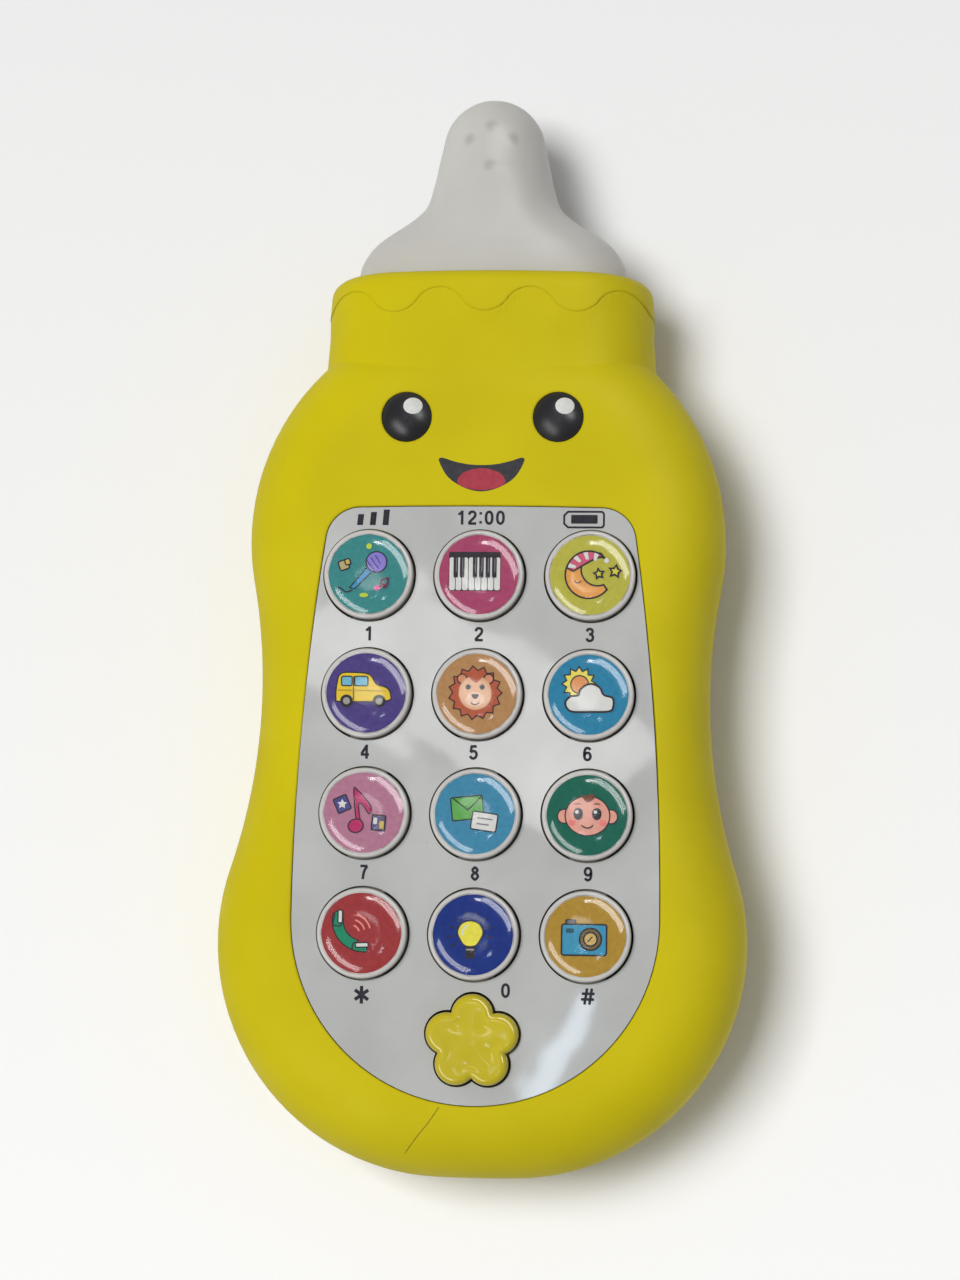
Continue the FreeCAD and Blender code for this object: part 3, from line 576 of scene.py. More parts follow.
def bow(x: float, y: float, radius: float, start: float, end: float, steps: int = 16) -> Outline:
    """Return an open arc between two angles in degrees."""
    return [polar(x, y, radius, math.radians(start + (end - start) * i / steps))
            for i in range(steps + 1)]


def curve(points: Sequence[Spot], closed: bool = True, steps: int = 6) -> Outline:
    """Run a smooth line through points.

    Args:
        points: the points in order.
        closed: True to come back to the first point.
        steps: the steps between two points.

    Returns:
        The points of the smooth line.
    """
    count = len(points)
    made = []
    for i in range(count if closed else count - 1):
        a, b, c, d = (points[k % count] if closed else points[min(max(k, 0), count - 1)]
                      for k in (i - 1, i, i + 1, i + 2))
        for step in range(steps):
            t = step / steps
            w = (-t + 2 * t * t - t ** 3, 2 - 5 * t * t + 3 * t ** 3, t + 4 * t * t - 3 * t ** 3,
                 t ** 3 - t * t)
            made.append(tuple(sum(k * p[axis] for k, p in zip(w, (a, b, c, d))) / 2
                              for axis in (0, 1)))
    if not closed:
        made.append(points[-1])
    return made


def offset(path: Outline, reach: float, closed: bool) -> Outline:
    """Move a line sideways.

    Args:
        path: the line's points.
        reach: how far to the left of its direction, negative for the right.
        closed: True for a line that comes back to its start.

    Returns:
        The moved points, with corners held to twice the reach.
    """
    count = len(path)
    made = []
    for i, (x, y) in enumerate(path):
        before = path[(i - 1) % count] if closed or i else path[i]
        after = path[(i + 1) % count] if closed or i < count - 1 else path[i]
        first, second = Vector((x, y)) - Vector(before), Vector(after) - Vector((x, y))
        first = first.normalized() if first.length else second.normalized()
        second = second.normalized() if second.length else first
        middle = (first + second).normalized()
        size = reach / max(middle.dot(first), 0.5)
        made.append((x - middle.y * size, y + middle.x * size))
    return made


@dataclass
class Picture:
    """A print in thin layers of ink, drawn round its own centre."""

    solid: Solid
    centre: Spot
    level: float
    layer: float = 0.012
    sunk: float = 0.02
    edge: float = 0.2

    def lift(self, outline: Outline) -> Outline:
        """Move an outline to the print's centre and raise the next layer."""
        self.level += self.layer
        return [(x + self.centre[0], y + self.centre[1]) for x, y in outline]

    def fill(self, outline: Outline, tint: str) -> None:
        """Print a filled outline."""
        outline = self.lift(outline)
        self.solid.prism(outline, self.level - self.layer - self.sunk, self.level, ink(tint))

    def stroke(self, path: Outline, width: float, tint: str = "line",
               closed: bool = False) -> None:
        """Print a line of a width, open or closed."""
        left, right = offset(path, width / 2, closed), offset(path, -width / 2, closed)
        if closed:
            left, right = self.lift(left), self.lift(right)
            self.solid.band(left, right, self.level - 2 * self.layer, self.level, ink(tint))
        else:
            self.fill(left + right[::-1], tint)

    def edged(self, outline: Outline, tint: str) -> None:
        """Print a filled outline with a dark edge."""
        self.fill(outline, tint)
        self.stroke(outline, self.edge, closed=True)


# The pictures on the keys


def draw_microphone(p: Picture) -> None:
    """Microphone on its lead, with small notes round it."""
    p.stroke(curve([(-5.0, -2.0), (-4.2, -2.4), (-3.4, -2.9), (-2.5, -2.6)], False), 0.25, "line")
    p.edged([(0.1, 1.4), (0.9, 0.6), (-2.2, -2.4), (-2.9, -2.2)], "sea_blue")
    p.edged(disc(1.3, 1.9, 1.65), "soft_violet")
    for step in (-0.7, 0.0, 0.7):
        p.stroke([(0.4 + step, 2.6 + step / 2), (1.6 + step / 2, 0.9 + step)], 0.12, "line")
    p.edged(tile(-3.9, 1.4, 1.5, 1.5, 20, 0.3), "pale_sand")
    p.edged(tile(-3.3, 1.9, 0.8, 0.9, 20, 0.2), "sand")
    p.fill(oval(1.5, -2.2, 0.55, 0.4, 20), "rose")
    p.fill(oval(2.6, -1.9, 0.55, 0.4, 20), "wine")
    p.stroke([(1.95, -2.1), (2.2, -0.9), (3.2, -0.7), (3.1, -1.8)], 0.3, "wine")
    p.fill(disc(0.1, 4.4, 0.45), "lime")
    p.fill(oval(-0.6, -3.4, 0.7, 0.35), "lime")


def draw_piano(p: Picture) -> None:
    """Stretch of piano keys."""
    p.fill(tile(-0.2, 0.5, 8.2, 6.2, 0, 0.2), "line")
    for i in range(8):
        p.fill(tile(-3.75 + 1.02 * i, 0.1, 0.9, 5.2, 0, 0.3), "white")
    for i in (0, 1, 3, 4, 5, 6):
        p.fill(tile(-3.2 + 1.02 * i, 1.2, 0.7, 3.4, 0, 0.15), "line")
        p.fill(tile(-3.1 + 1.02 * i, 1.5, 0.16, 2.2), "sheen_grey")


def draw_moon(p: Picture) -> None:
    """Sleeping moon with a striped nightcap and two stars."""
    p.edge = 0.28
    moon = bow(-0.2, 0.0, 3.7, 40, 322, 30) + bow(1.2, 0.9, 2.6, 292, 78, 22)
    p.edged(moon, "moon_orange")
    cap = bow(-0.2, 0.2, 3.6, 52, 165, 14) + curve([(-2.6, 0.6), (-1.0, 1.6), (0.8, 2.6),
                                                    (2.0, 2.9)], False, 3)
    p.edged(cap, "cap_rose")
    for start in (68, 98, 128, 156):
        inner = bow(-0.2, 0.2, 2.3, start - 8, start + 3, 3)
        p.fill(bow(-0.2, 0.2, 3.45, start - 5, start + 7, 3) + inner[::-1], "white")
    p.fill(disc(2.6, 2.3, 0.4), "white")
    p.stroke(bow(-1.9, -0.7, 0.55, 200, 340, 8), 0.18, "line")
    p.edged(star(1.4, 0.2, 0.8, 0.4, 5, 100), "star_yellow")
    p.edged(star(4.0, 0.6, 1.0, 0.5, 5, 80), "star_yellow")


def draw_car(p: Picture) -> None:
    """Yellow car seen from the side."""
    body = curve([(-4.4, -1.0), (-4.3, 1.2), (-3.7, 2.9), (-1.5, 3.1), (0.9, 2.8), (2.0, 1.3),
                  (3.7, 0.7), (4.3, -0.4), (3.9, -1.3), (0.0, -1.5), (-3.9, -1.5)], True, 4)
    p.edged(body, "car_yellow")
    for x, width in ((-2.7, 1.7), (-0.4, 2.1)):
        p.edged(tile(x, 1.75, width, 1.5, 0, 0.3), "glass_blue")
    p.stroke([(-1.6, 2.6), (-1.6, -1.3)], 0.15, "line")
    p.stroke([(-4.1, 0.3), (3.6, 0.2)], 0.15, "car_shade")
    for x in (-2.7, 2.5):
        p.fill(disc(x, -1.4, 1.0), "line")
        p.fill(disc(x, -1.4, 0.55), "hub_grey")


def draw_lion(p: Picture) -> None:
    """Lion's head with a jagged mane."""
    mane = "mane_brown"
    p.edged(star(-0.1, 0.0, 4.25, 3.55, 15, 96), mane)
    for x in (-2.2, 2.0):
        p.edged(disc(x, 2.2, 0.75), "ear_tan")
    p.fill(oval(-0.1, 0.0, 2.6, 2.7), "face_tan")
    p.fill(oval(-0.1, -1.0, 1.5, 1.1), "muzzle")
    for x in (-1.2, 1.0):
        p.fill(disc(x, 0.9, 0.42), "line")
    p.fill(curve([(-0.7, -0.3), (0.5, -0.3), (-0.1, -1.0)], True, 4), "line")
    p.stroke(bow(-0.1, -1.2, 0.7, 200, 340, 8), 0.16, "line")
    p.fill(curve([(-1.0, 2.5), (0.0, 1.6), (1.0, 2.6), (0.0, 3.3)], True, 4), mane)


def draw_sun(p: Picture) -> None:
    """Sun behind a cloud."""
    p.edged(star(-1.5, 1.7, 2.7, 2.0, 12, 90), "sun_yellow")
    p.edged(disc(-1.4, 1.6, 1.4), "sun_orange")
    cloud = [(-3.3, -2.2), (-3.6, -1.2), (-2.8, -0.3), (-1.6, -0.1), (-1.2, 0.9), (0.2, 1.7),
             (1.7, 1.2), (2.4, 0.0), (3.8, -0.5), (3.9, -1.9), (3.2, -2.6), (0.0, -2.7), (-2.4,
                                                                                          -2.7)]
    p.edge = 0.32
    p.edged(curve(cloud, True, 5), "white")


def draw_note(p: Picture) -> None:
    """Large note between two small tiles."""
    note = "note_magenta"
    p.edged(tile(-3.4, 1.3, 2.2, 2.4, 24, 0.2), "night_blue")
    p.fill(star(-3.4, 1.3, 0.8, 0.4, 5), "white")
    p.edged(curve([(-1.6, 3.6), (-0.9, 3.4), (0.3, 2.2), (1.2, 0.8), (0.9, -0.2), (0.0, 1.0),
                   (-0.8, 1.3), (-0.5, -1.6), (-1.1, -1.4)], True, 4), note)
    p.edged(oval(-1.2, -2.1, 1.2, 1.05, 15), note)
    p.edged(tile(2.4, -1.6, 2.1, 2.4, -4, 0.2), "slate")
    p.fill(tile(2.9, -1.9, 0.7, 1.2, -4), "sand")
    p.fill(tile(1.9, -1.3, 0.6, 1.0, -4), "white")


def draw_letter(p: Picture) -> None:
    """Green envelope with a white card in front of it."""
    green = "leaf_green"
    p.edged(tile(-1.2, 0.9, 5.0, 3.6, 6, 0.3), green)
    p.stroke([(-3.5, 2.4), (-1.1, 0.6), (1.1, 2.8)], 0.2, "line")
    p.edged(tile(1.5, -1.2, 4.0, 2.8, -8, 0.3), "white")
    p.stroke([(0.4, -0.6), (2.8, -0.9)], 0.22, "card_grey")
    p.stroke([(0.3, -1.5), (2.2, -1.75)], 0.22, "card_grey")


def draw_baby(p: Picture) -> None:
    """Smiling round face with small ears and a tuft of hair."""
    skin = "skin_pink"
    for side in (-1, 1):
        p.edged(oval(0.1 + 3.7 * side, -0.2, 1.0, 1.1), skin)
    p.edged(oval(0.1, -0.1, 3.5, 3.1), skin)
    p.fill(curve([(-0.9, 3.1), (0.0, 2.0), (1.1, 2.6), (0.8, 3.4), (0.0, 3.0)], True, 4), "hair")
    for side in (-1, 1):
        x = 0.1 + 1.45 * side
        p.fill(oval(x, 0.2, 0.75, 0.95), "line")
        p.fill(disc(x - 0.2, 0.5, 0.28), "white")
        p.stroke(bow(x, 0.9, 0.9, 60, 120, 6), 0.2, "hair")
        p.fill(disc(0.1 + 2.4 * side, -1.2, 0.5), "cheek")
    p.stroke(bow(0.1, -0.9, 1.1, 215, 325, 8), 0.2, "line")


def draw_handset(p: Picture) -> None:
    """Green telephone handset with three sound lines."""
    green = "receiver_green"
    shell = bow(1.4, 2.0, 4.9, 168, 262, 14) + bow(1.4, 2.0, 3.2, 256, 176, 12)
    p.edged(shell, green)
    for x, y, turn in ((-2.6, 2.2, 80), (0.9, -2.2, -8)):
        p.edged(tile(x, y, 1.3, 2.3, turn - 90, 0.4), green)
        p.edged(tile(x + 0.35, y + 0.35, 0.7, 2.0, turn - 90 + 10, 0.2), "white")
    for radius in (1.2, 2.1, 3.0):
        p.stroke(bow(-0.4, 0.0, radius, 15, 75, 8), 0.26, "blush")


def draw_bulb(p: Picture) -> None:
    """Light bulb with rays."""
    for i in range(10):
        a = math.radians(-32 + 244 * i / 9)
        p.stroke([(2.5 * math.cos(a), 2.5 * math.sin(a)), (3.7 * math.cos(a), 3.7 * math.sin(a))],
                 0.2, "line")
    p.fill(tile(0.0, -2.6, 1.5, 2.2, 0, 0.4), "line")
    p.fill(tile(0.0, -2.3, 1.2, 0.25), "hub_grey")
    p.edged(curve([(-0.8, -1.7), (-1.7, -0.5), (-2.0, 0.5), (-1.4, 1.7), (0.0, 2.2), (1.4, 1.7),
                   (2.0, 0.5), (1.7, -0.5), (0.8, -1.7)], True, 4), "bulb_yellow")
    p.stroke(bow(0.0, 0.3, 1.2, 110, 200, 8), 0.26, "white")


def draw_camera(p: Picture) -> None:
    """Blue camera with a round lens."""
    p.edge = 0.26
    p.edged(tile(-2.0, 2.3, 1.5, 1.1, 0, 0.2), "camera_grey")
    p.edged(tile(0.1, -0.2, 7.0, 4.8, 0, 0.4), "camera_blue")
    p.fill(tile(-2.1, 1.2, 1.2, 0.7, 0, 0.1), "camera_dark")
    p.edged(disc(1.1, -0.1, 1.7), "lens_ring")
    p.edged(disc(1.1, -0.1, 1.05), "lens_glass")
    p.stroke([(0.7, -0.5), (1.4, 0.3)], 0.2, "line")



def smooth(*points: Spot) -> Outline:
    """Return an open smooth pen line."""
    return curve(points, False)


def loop(*points: Spot) -> Outline:
    """Return a smooth pen line that comes back to its start."""
    made = curve(points)
    return made + made[:1]


SIX = smooth((0.2, 0.27), (0.13, 0.38), (0.0, 0.42), (-0.15, 0.33), (-0.21, 0.1), (-0.21, -0.14),
             (-0.15, -0.35), (0.0, -0.42), (0.15, -0.36), (0.22, -0.17), (0.15, 0.02), (0.01,
                                                                                        0.08),
             (-0.13, 0.02), (-0.2, -0.1))
SIGNS: dict[str, list[Outline]] = {
    "0": [loop((0, 0.42), (0.17, 0.3), (0.22, 0), (0.17, -0.3), (0, -0.42), (-0.17, -0.3),
               (-0.22, 0), (-0.17, 0.3))],
    "1": [[(0.09, -0.5), (0.09, 0.5)], [(0.09, 0.43), (-0.03, 0.3), (-0.18, 0.22)]],
    "2": [smooth((-0.22, 0.2), (-0.15, 0.37), (0.01, 0.42), (0.17, 0.36), (0.22, 0.2),
                 (0.14, 0.02), (-0.04, -0.16), (-0.18, -0.32), (-0.22, -0.42)), [(-0.27, -0.42),
                                                                                 (0.29, -0.42)]],
    "3": [smooth((-0.21, 0.24), (-0.14, 0.38), (0.0, 0.42), (0.14, 0.37), (0.19, 0.23),
                 (0.12, 0.09), (-0.05, 0.05)),
          smooth((-0.05, 0.04), (0.14, 0.0), (0.22, -0.17), (0.15, -0.36), (-0.01, -0.42),
                 (-0.15, -0.37), (-0.22, -0.24))],
    "4": [[(0.12, -0.5), (0.12, 0.5)], [(0.12, 0.44), (-0.24, -0.17)],
          [(-0.29, -0.2), (0.29, -0.2)]],
    "5": [[(0.23, 0.42), (-0.13, 0.42), (-0.19, 0.0)],
          smooth((-0.19, -0.01), (-0.03, 0.1), (0.14, 0.05), (0.22, -0.13), (0.16, -0.34),
                 (0.0, -0.42), (-0.14, -0.38), (-0.23, -0.25))],
    "6": [SIX],
    "7": [[(-0.25, 0.42), (0.25, 0.42)], smooth((0.24, 0.4), (0.08, 0.18), (-0.02, -0.1),
                                                (-0.07, -0.5))],
    "8": [loop((0, 0.42), (0.17, 0.23), (0, 0.05), (-0.17, 0.23)),
          loop((0, 0.04), (0.21, -0.19), (0, -0.42), (-0.21, -0.19))],
    "9": [[(-x, -y) for x, y in SIX]],
    "star": [[(0, -0.55), (0, 0.55)], [(-0.42, -0.3), (0.42, 0.3)], [(-0.42, 0.3), (0.42, -0.3)]],
    "hash": [[(-0.2, -0.5), (-0.05, 0.5)], [(0.1, -0.5), (0.25, 0.5)],
             [(-0.38, 0.17), (0.42, 0.17)], [(-0.42, -0.18), (0.38, -0.18)]],
    "colon": [[(0, 0.22), (0, 0.4)], [(0, -0.42), (0, -0.24)]],
}


@dataclass(frozen=True)
class Label:
    """A key's picture: the tone of its ground, what is drawn on it, and how far off the middle."""

    ground: Tone
    draw: Callable[[Picture], None]
    shift: Spot = (0.0, 0.0)


LABELS = {
    "1": Label((47, 126, 126), draw_microphone),
    "2": Label((158, 59, 96), draw_piano, (-0.45, 0.0)),
    "3": Label((175, 170, 61), draw_moon),
    "4": Label((67, 53, 118), draw_car, (-0.35, 0.1)),
    "5": Label((169, 124, 77), draw_lion, (-0.15, 0.15)),
    "6": Label((31, 120, 156), draw_sun),
    "7": Label((169, 111, 135), draw_note),
    "8": Label((54, 127, 160), draw_letter),
    "9": Label((0, 90, 72), draw_baby),
    "star": Label((148, 43, 46), draw_handset, (-1.1, 0.0)),
    "0": Label((0, 37, 118), draw_bulb, (-0.4, 0.0)),
    "hash": Label((165, 129, 40), draw_camera, (-0.3, -0.3)),
}


class Recipe(Tree):
    """A geometry tree with named inputs, run once and turned into a plain mesh."""

    def __init__(self, name: str, values: dict[str, tuple[str, object]]) -> None:
        """Start a tree.

        Args:
            name: the tree's name.
            values: socket type and value of each named input.
        """
        super().__init__(bpy.data.node_groups.new(name, "GeometryNodeTree"))
        self.values = {label: value for label, (kind, value) in values.items()}
        kinds = {label: kind for label, (kind, value) in values.items()}
        face = self.tree.interface
        for label, kind in ({"Geometry": "Geometry"} | kinds | {"Finish": "Material"}).items():
            face.new_socket(label, in_out="INPUT", socket_type="NodeSocket" + kind)
        face.new_socket("Geometry", in_out="OUTPUT", socket_type="NodeSocketGeometry")
        self.source = self.tree.nodes.new("NodeGroupInput")

    def given(self, name: str) -> Socket:
        """Return the socket of a named input."""
        return self.source.outputs[name]

    def run(self, last: Socket, base: bpy.types.Object, finish: Finish) -> None:
        """Close the tree, run it on an object and leave the plain result in the object.

        Args:
            last: the socket that holds the tree's geometry.
            base: the object whose mesh goes in.
            finish: the material that the result gets.
        """
        real = self.add("GeometryNodeRealizeInstances", Geometry=last)
        done = self.add("GeometryNodeSetMaterial", Geometry=real.outputs[0],
                        Material=self.given("Finish"))
        self.add("NodeGroupOutput", Geometry=done.outputs[0])
        modifier = base.modifiers.new(self.tree.name, "NODES")
        modifier.node_group = self.tree
        values = self.values | {"Finish": finish.material()}
        for item in self.tree.interface.items_tree:
            if item.in_out == "INPUT" and item.name in values:
                modifier[item.identifier] = values[item.name]
        plain(base)


@dataclass
class Casing:
    """Yellow housing with its printed mouth and a fine line of dirt."""

    nodes: Nodes
    face_z: float = 30.0
    mouth_y: float = 23.45
    mid_z: float = 15.0
    wave_high: float = 56.0
    wave_low: float = 46.5
    wave_steps: int = 480
    slope_reach: float = 3.2
    slope_step: float = 0.07
    probe_step: float = 0.08
    wave_edge: float = 0.12
    dirt_half: float = 0.05

    def build(self) -> None:
        """Dress the shells and print the face on them."""
        for name in ("front_casing", "rear_casing", "battery_door"):
            paint(self.nodes, name, Surface.YELLOW.value)
        for piece in (self.mouth(), self.dirt_line(), self.wave_slope()):
            settle(piece, "casing")

    def mouth(self) -> bpy.types.Object:
        """Print the open smile and its tongue."""
        solid = Solid("mouth_print")
        picture = Picture(solid, (0.0, self.mouth_y), self.face_z)
        side = [(6.72, 2.0), (6.25, 1.0), (5.5, -0.15), (4.28, -1.2), (2.3, -2.2)]
        lip = [(6.3, 2.78), (4.6, 2.25), (2.4, 1.76)]
        right = lip[::-1] + [(6.85, 2.55)] + side
        around = [(0.0, 1.6)] + right + [(0.0, -2.65)] + [(-x, y) for x, y in right[::-1]]
        picture.fill(curve(around), "mouth_grey")
        tongue = [(-3.85, -1.15), (-2.9, 0.35), (0.0, 1.1), (2.9, 0.35), (3.85, -1.15),
                  (2.6, -2.02), (0.0, -2.44), (-2.6, -2.02)]
        picture.fill(curve(tongue), "tongue_pink")
        return solid.object()

    def reach(self, trees: Sequence[BVHTree], turn: float, y: float) -> float:
        """Measure the collar from its middle line.

        Args:
            trees: the shells' faces.
            turn: the direction round the collar, from the front.
            y: the place along the phone.

        Returns:
            The distance from the middle line to the outer face.
        """
        way = Vector((math.sin(turn), 0, math.cos(turn)))
        start = Vector((0, y, self.mid_z)) + 60 * way
        hits = (tree.ray_cast(start * MM, -way)[3] for tree in trees)
        return 60 - min((gap / MM for gap in hits if gap is not None), default=60)

    def wave_slope(self) -> bpy.types.Object:
        """Ease the wave's step into the collar, as the mould does, with a low slope all round."""
        trees = [faces_of(self.nodes[name]) for name in ("front_casing", "rear_casing")]
        found: list[Point] = []
        for i in range(self.wave_steps):
            turn = TURN * (i + 0.5) / self.wave_steps
            y, step = self.wave_high, self.probe_step
            above = self.reach(trees, turn, y)
            while y > self.wave_low:
                below = self.reach(trees, turn, y - step)
                if above - below > self.wave_edge:
                    found.append((turn, y - step / 2, above))
                    break
                y, above = y - step, below
        sections = []
        for turn, y, top in found:
            foot_y = y - self.slope_reach
            foot = self.reach(trees, turn, foot_y)
            line = []
            for share in (0.0, 0.2, 0.4, 0.6, 0.8, 1.0):
                drop = 1 - (1 - share) ** 2
                line.append((y - self.slope_reach * share, top - self.slope_step
                             + (foot + self.slope_step - top) * drop + 0.006))
            ring = [(y + 0.2, top - 0.15)] + line + [(foot_y, foot - 0.1), (y + 0.2, foot - 0.1)]
            sections.append([(r * math.sin(turn), py, self.mid_z + r * math.cos(turn))
                             for py, r in ring])
        solid = Solid("wave_slope")
        solid.skin(sections, Surface.SLOPE.value)
        return solid.object(60)

    def dirt_line(self) -> bpy.types.Object:
        """Lay a hair-thin dark line on the round of the casing."""
        tree = faces_of(self.nodes["front_casing"])
        path = curve([(-5.1, -76.3), (-6.8, -78.8), (-8.6, -81.0), (-10.6, -83.7)], False, 10)
        rows = []
        for reach in (self.dirt_half, -self.dirt_half):
            hits = [(x, y, tree.ray_cast(Vector((x * MM, y * MM, 0.05)), Vector((0, 0, -1)))[0])
                    for x, y in offset(path, reach, False)]
            rows.append([(x, y, hit.z / MM) for x, y, hit in hits])
        corners = ((0, 0.03), (1, 0.03), (1, -0.05), (0, -0.05))
        rings = [[(*pair[k][:2], pair[k][2] + rise) for k, rise in corners] for pair in zip(*rows)]
        solid = Solid("dirt_line")
        solid.rings(rings, ink("dirt_olive"))
        return solid.object()


@dataclass
class Panel:
    """Glossy white face panel with its printed numbers and signs."""

    nodes: Nodes
    columns: tuple[float, ...] = (-17.6, 0.0, 17.6)
    rows: tuple[float, ...] = (7.3, -11.6, -30.5, -49.4)
    sign_drop: float = 9.3
    sign_y: float = 16.6
    sign_height: float = 2.25
    sign_line: float = 0.42
    face_z: float = 30.0
    shifts: dict[str, Spot] = field(default_factory=lambda: {
        "4": (-0.2, 0.1), "5": (-0.55, 0.15), "6": (-0.15, 0.1), "9": (0.2, 0.15), "star": (0.0,
                                                                                            -0.35),
        "0": (5.1, 0.7), "hash": (0.4, 0.0)})

    def build(self) -> None:
        """Dress the panel and print on it."""
        paint(self.nodes, "face_panel", Surface.PANEL.value)
        solid = Solid("panel_numbers")
        for name, (x, y) in self.places().items():
            dx, dy = self.shifts.get(name, (0.0, 0.0))
            self.sign(solid, name, x + dx, y - self.sign_drop + dy)
        for name, x in (("1", -3.15), ("2", -1.35), ("colon", 0.0), ("0", 1.35), ("0", 3.15)):
            self.sign(solid, name, x, self.sign_y)
        for piece in (solid.object(), self.marks()):
            settle(piece, "casing")

    def places(self) -> dict[str, Spot]:
        """Return the middle of each key."""
        spots = [(x, y) for y in self.rows for x in self.columns]
        return dict(zip(LABELS, spots))

    def sign(self, solid: Solid, name: str, x: float, y: float) -> None:
        """Print a number or a sign from its pen lines, round a place on the panel."""
        picture = Picture(solid, (x, y), self.face_z)
        line = self.sign_line * (1.3 if name == "star" else 1.0)
        height = self.sign_height * (1.12 if name in ("star", "hash") else 1.0)
        for path in SIGNS[name]:
            path = [(px * height, py * height) for px, py in path]
            closed = path[0] == path[-1]
            picture.stroke(path[:-1] if closed else path, line, "dark_grey", closed)

    def marks(self) -> bpy.types.Object:
        """Print the three rising bars and the battery sign."""
        solid = Solid("panel_marks")
        bars = Picture(solid, (self.columns[0], self.sign_y - 1.25), self.face_z)
        for x, height in ((-1.6, 1.75), (0.45, 2.1), (2.5, 2.5)):
            bars.fill([(x - 0.58, 0), (x + 0.37, 0), (x + 0.55, height), (x - 0.4, height)],
                      "dark_grey")
        cell = Picture(solid, (self.columns[2] - 1.15, self.sign_y - 0.25), self.face_z)
        right = tile(0.0, 0.0, 6.3, 2.5, 0, 0.45)
        shell = right[:6] + [(-2.55, 1.25), (-3.15, 0.65), (-3.15, -0.65),
                             (-2.55, -1.25)] + right[18:]
        cell.stroke(shell, 0.32, "dark_grey", True)
        cell.fill(tile(0.05, 0.05, 4.2, 1.4, 0, 0.15), "dark_grey")
        return solid.object()


@dataclass
class Key:
    """One round key: white cap, printed label and clear lens."""

    nodes: Nodes
    name: str
    centre: Spot
    cap_top: float = 31.8
    label_radius: float = 6.3
    label_height: float = 0.03
    lens_radius: float = 6.55
    lens_height: float = 0.98

    def build(self) -> None:
        """Dress the cap, lay the picture on it and pour the lens over both."""
        paint(self.nodes, "key_" + self.name, Surface.CAP.value)
        label = LABELS[self.name]
        ground = ink("ground_" + self.name, label.ground)
        solid = Solid("label_" + self.name)
        top = self.cap_top + self.label_height
        solid.lathe([(self.label_radius, self.cap_top - 0.01), (self.label_radius, top)],
                    self.centre, ground, 72)
        middle = (self.centre[0] + label.shift[0], self.centre[1] + label.shift[1])
        label.draw(Picture(solid, middle, top))
        settle(solid.object(), "button_" + self.name)
        settle(self.lens(), "button_" + self.name, ["lens_" + self.name])

    def lens(self) -> bpy.types.Object:
        """Turn the poured lens: nearly flat in the middle and steep at the rim."""
        solid = Solid("poured_lens_" + self.name)
        profile = [(self.lens_radius - 0.05, self.cap_top)]
        for step in range(25):
            share = math.cos(QUARTER * step / 24.2)
            profile.append((self.lens_radius * share,
                            self.cap_top + 0.02 + self.lens_height * (1 - share ** 4)))
        solid.lathe(profile, self.centre, Surface.LENS.value, 96)
        return solid.object(80)


@dataclass
class Flower:
    """Puffed flower button with its lugs and plunger."""

    centre: Spot = (0.0, -66.1)
    lobes: int = 5
    lobe_radius: float = 3.3
    lobe_offset: float = 4.2
    lug_low: float = 25.3
    lug_top: float = 26.7
    lug_reach: float = 9.0
    lug_half: float = 3.0
    plunger_radius: float = 2.4
    plunger_z: float = 23.7
    top: float = 32.06
    edge: float = 1.1
    steps: int = 240
    blur: int = 9

    def outline(self, grow: float) -> list[float]:
        """Return the flower's radii all round, with its outline moved outwards."""
        made = []
        step = TURN / self.lobes
        for i in range(self.steps):
            a = TURN * i / self.steps - QUARTER
            near = (a - QUARTER + step / 2) % step - step / 2
            root = (self.lobe_radius + grow) ** 2 - (self.lobe_offset * math.sin(near)) ** 2
            made.append(self.lobe_offset * math.cos(near) + math.sqrt(max(root, 0.01)))
        return made

    def ring(self, inset: float, share: float, z: float, dip: float = 0.0) -> list[Point]:
        """Return one ring of the button.

        Args:
            inset: how far the ring lies inside the outline.
            share: the ring's size as a share of that outline.
            z: its height.
            dip: how far it sinks between two lobes.

        Returns:
            The ring's points.
        """
        radii = self.outline(-inset)
        blur = round(self.blur * inset / self.edge)
        near = range(-blur, blur + 1)
        radii = [sum(radii[(i + k) % self.steps] for k in near) / len(near)
                 for i in range(self.steps)]
        mean = sum(radii) / len(radii)
        made = []
        for i, radius in enumerate(radii):
            a = TURN * i / self.steps - QUARTER
            soft = share * (mean + (radius - mean) * share ** 3)
            valley = (1 - math.cos(self.lobes * (a - QUARTER))) / 2
            made.append((*polar(*self.centre, soft, a), z - dip * valley))
        return made

    def build(self) -> None:
        """Loft the button and add what carries it."""
        solid = Solid("flower_petals")
        finish = Surface.PETAL.value
        edge, deep = self.edge, self.edge * 1.1
        rings = [self.ring(0, 1, self.lug_low), self.ring(0, 1, self.top - deep)]
        for step in range(1, 8):
            a = QUARTER * step / 7
            rings.append(self.ring(edge * (1 - math.cos(a)), 1,
                                   self.top - deep * (1 - math.sin(a))))
        for step in range(1, 16):
            share = 1 - step / 15.2
            wave = math.sin(math.pi * share) ** 2
            rings.append(self.ring(edge, share, self.top + 0.12 * (1 - share ** 2) - 0.06 * wave,
                                   0.7 * wave * share ** 3))
        solid.rings(rings, finish)
        x, y = self.centre
        lugs = tile(x, y, 2 * self.lug_reach, 2 * self.lug_half, 0, 0.4)
        solid.prism(lugs, self.lug_low, self.lug_top, finish)
        stem = [(self.plunger_radius - 0.2, self.plunger_z),
                (self.plunger_radius, self.plunger_z + 0.2), (self.plunger_radius,
                                                              self.lug_low + 0.2)]
        solid.lathe(stem, self.centre, finish)
        settle(solid.object(40), "button_flower", ["flower_button"])


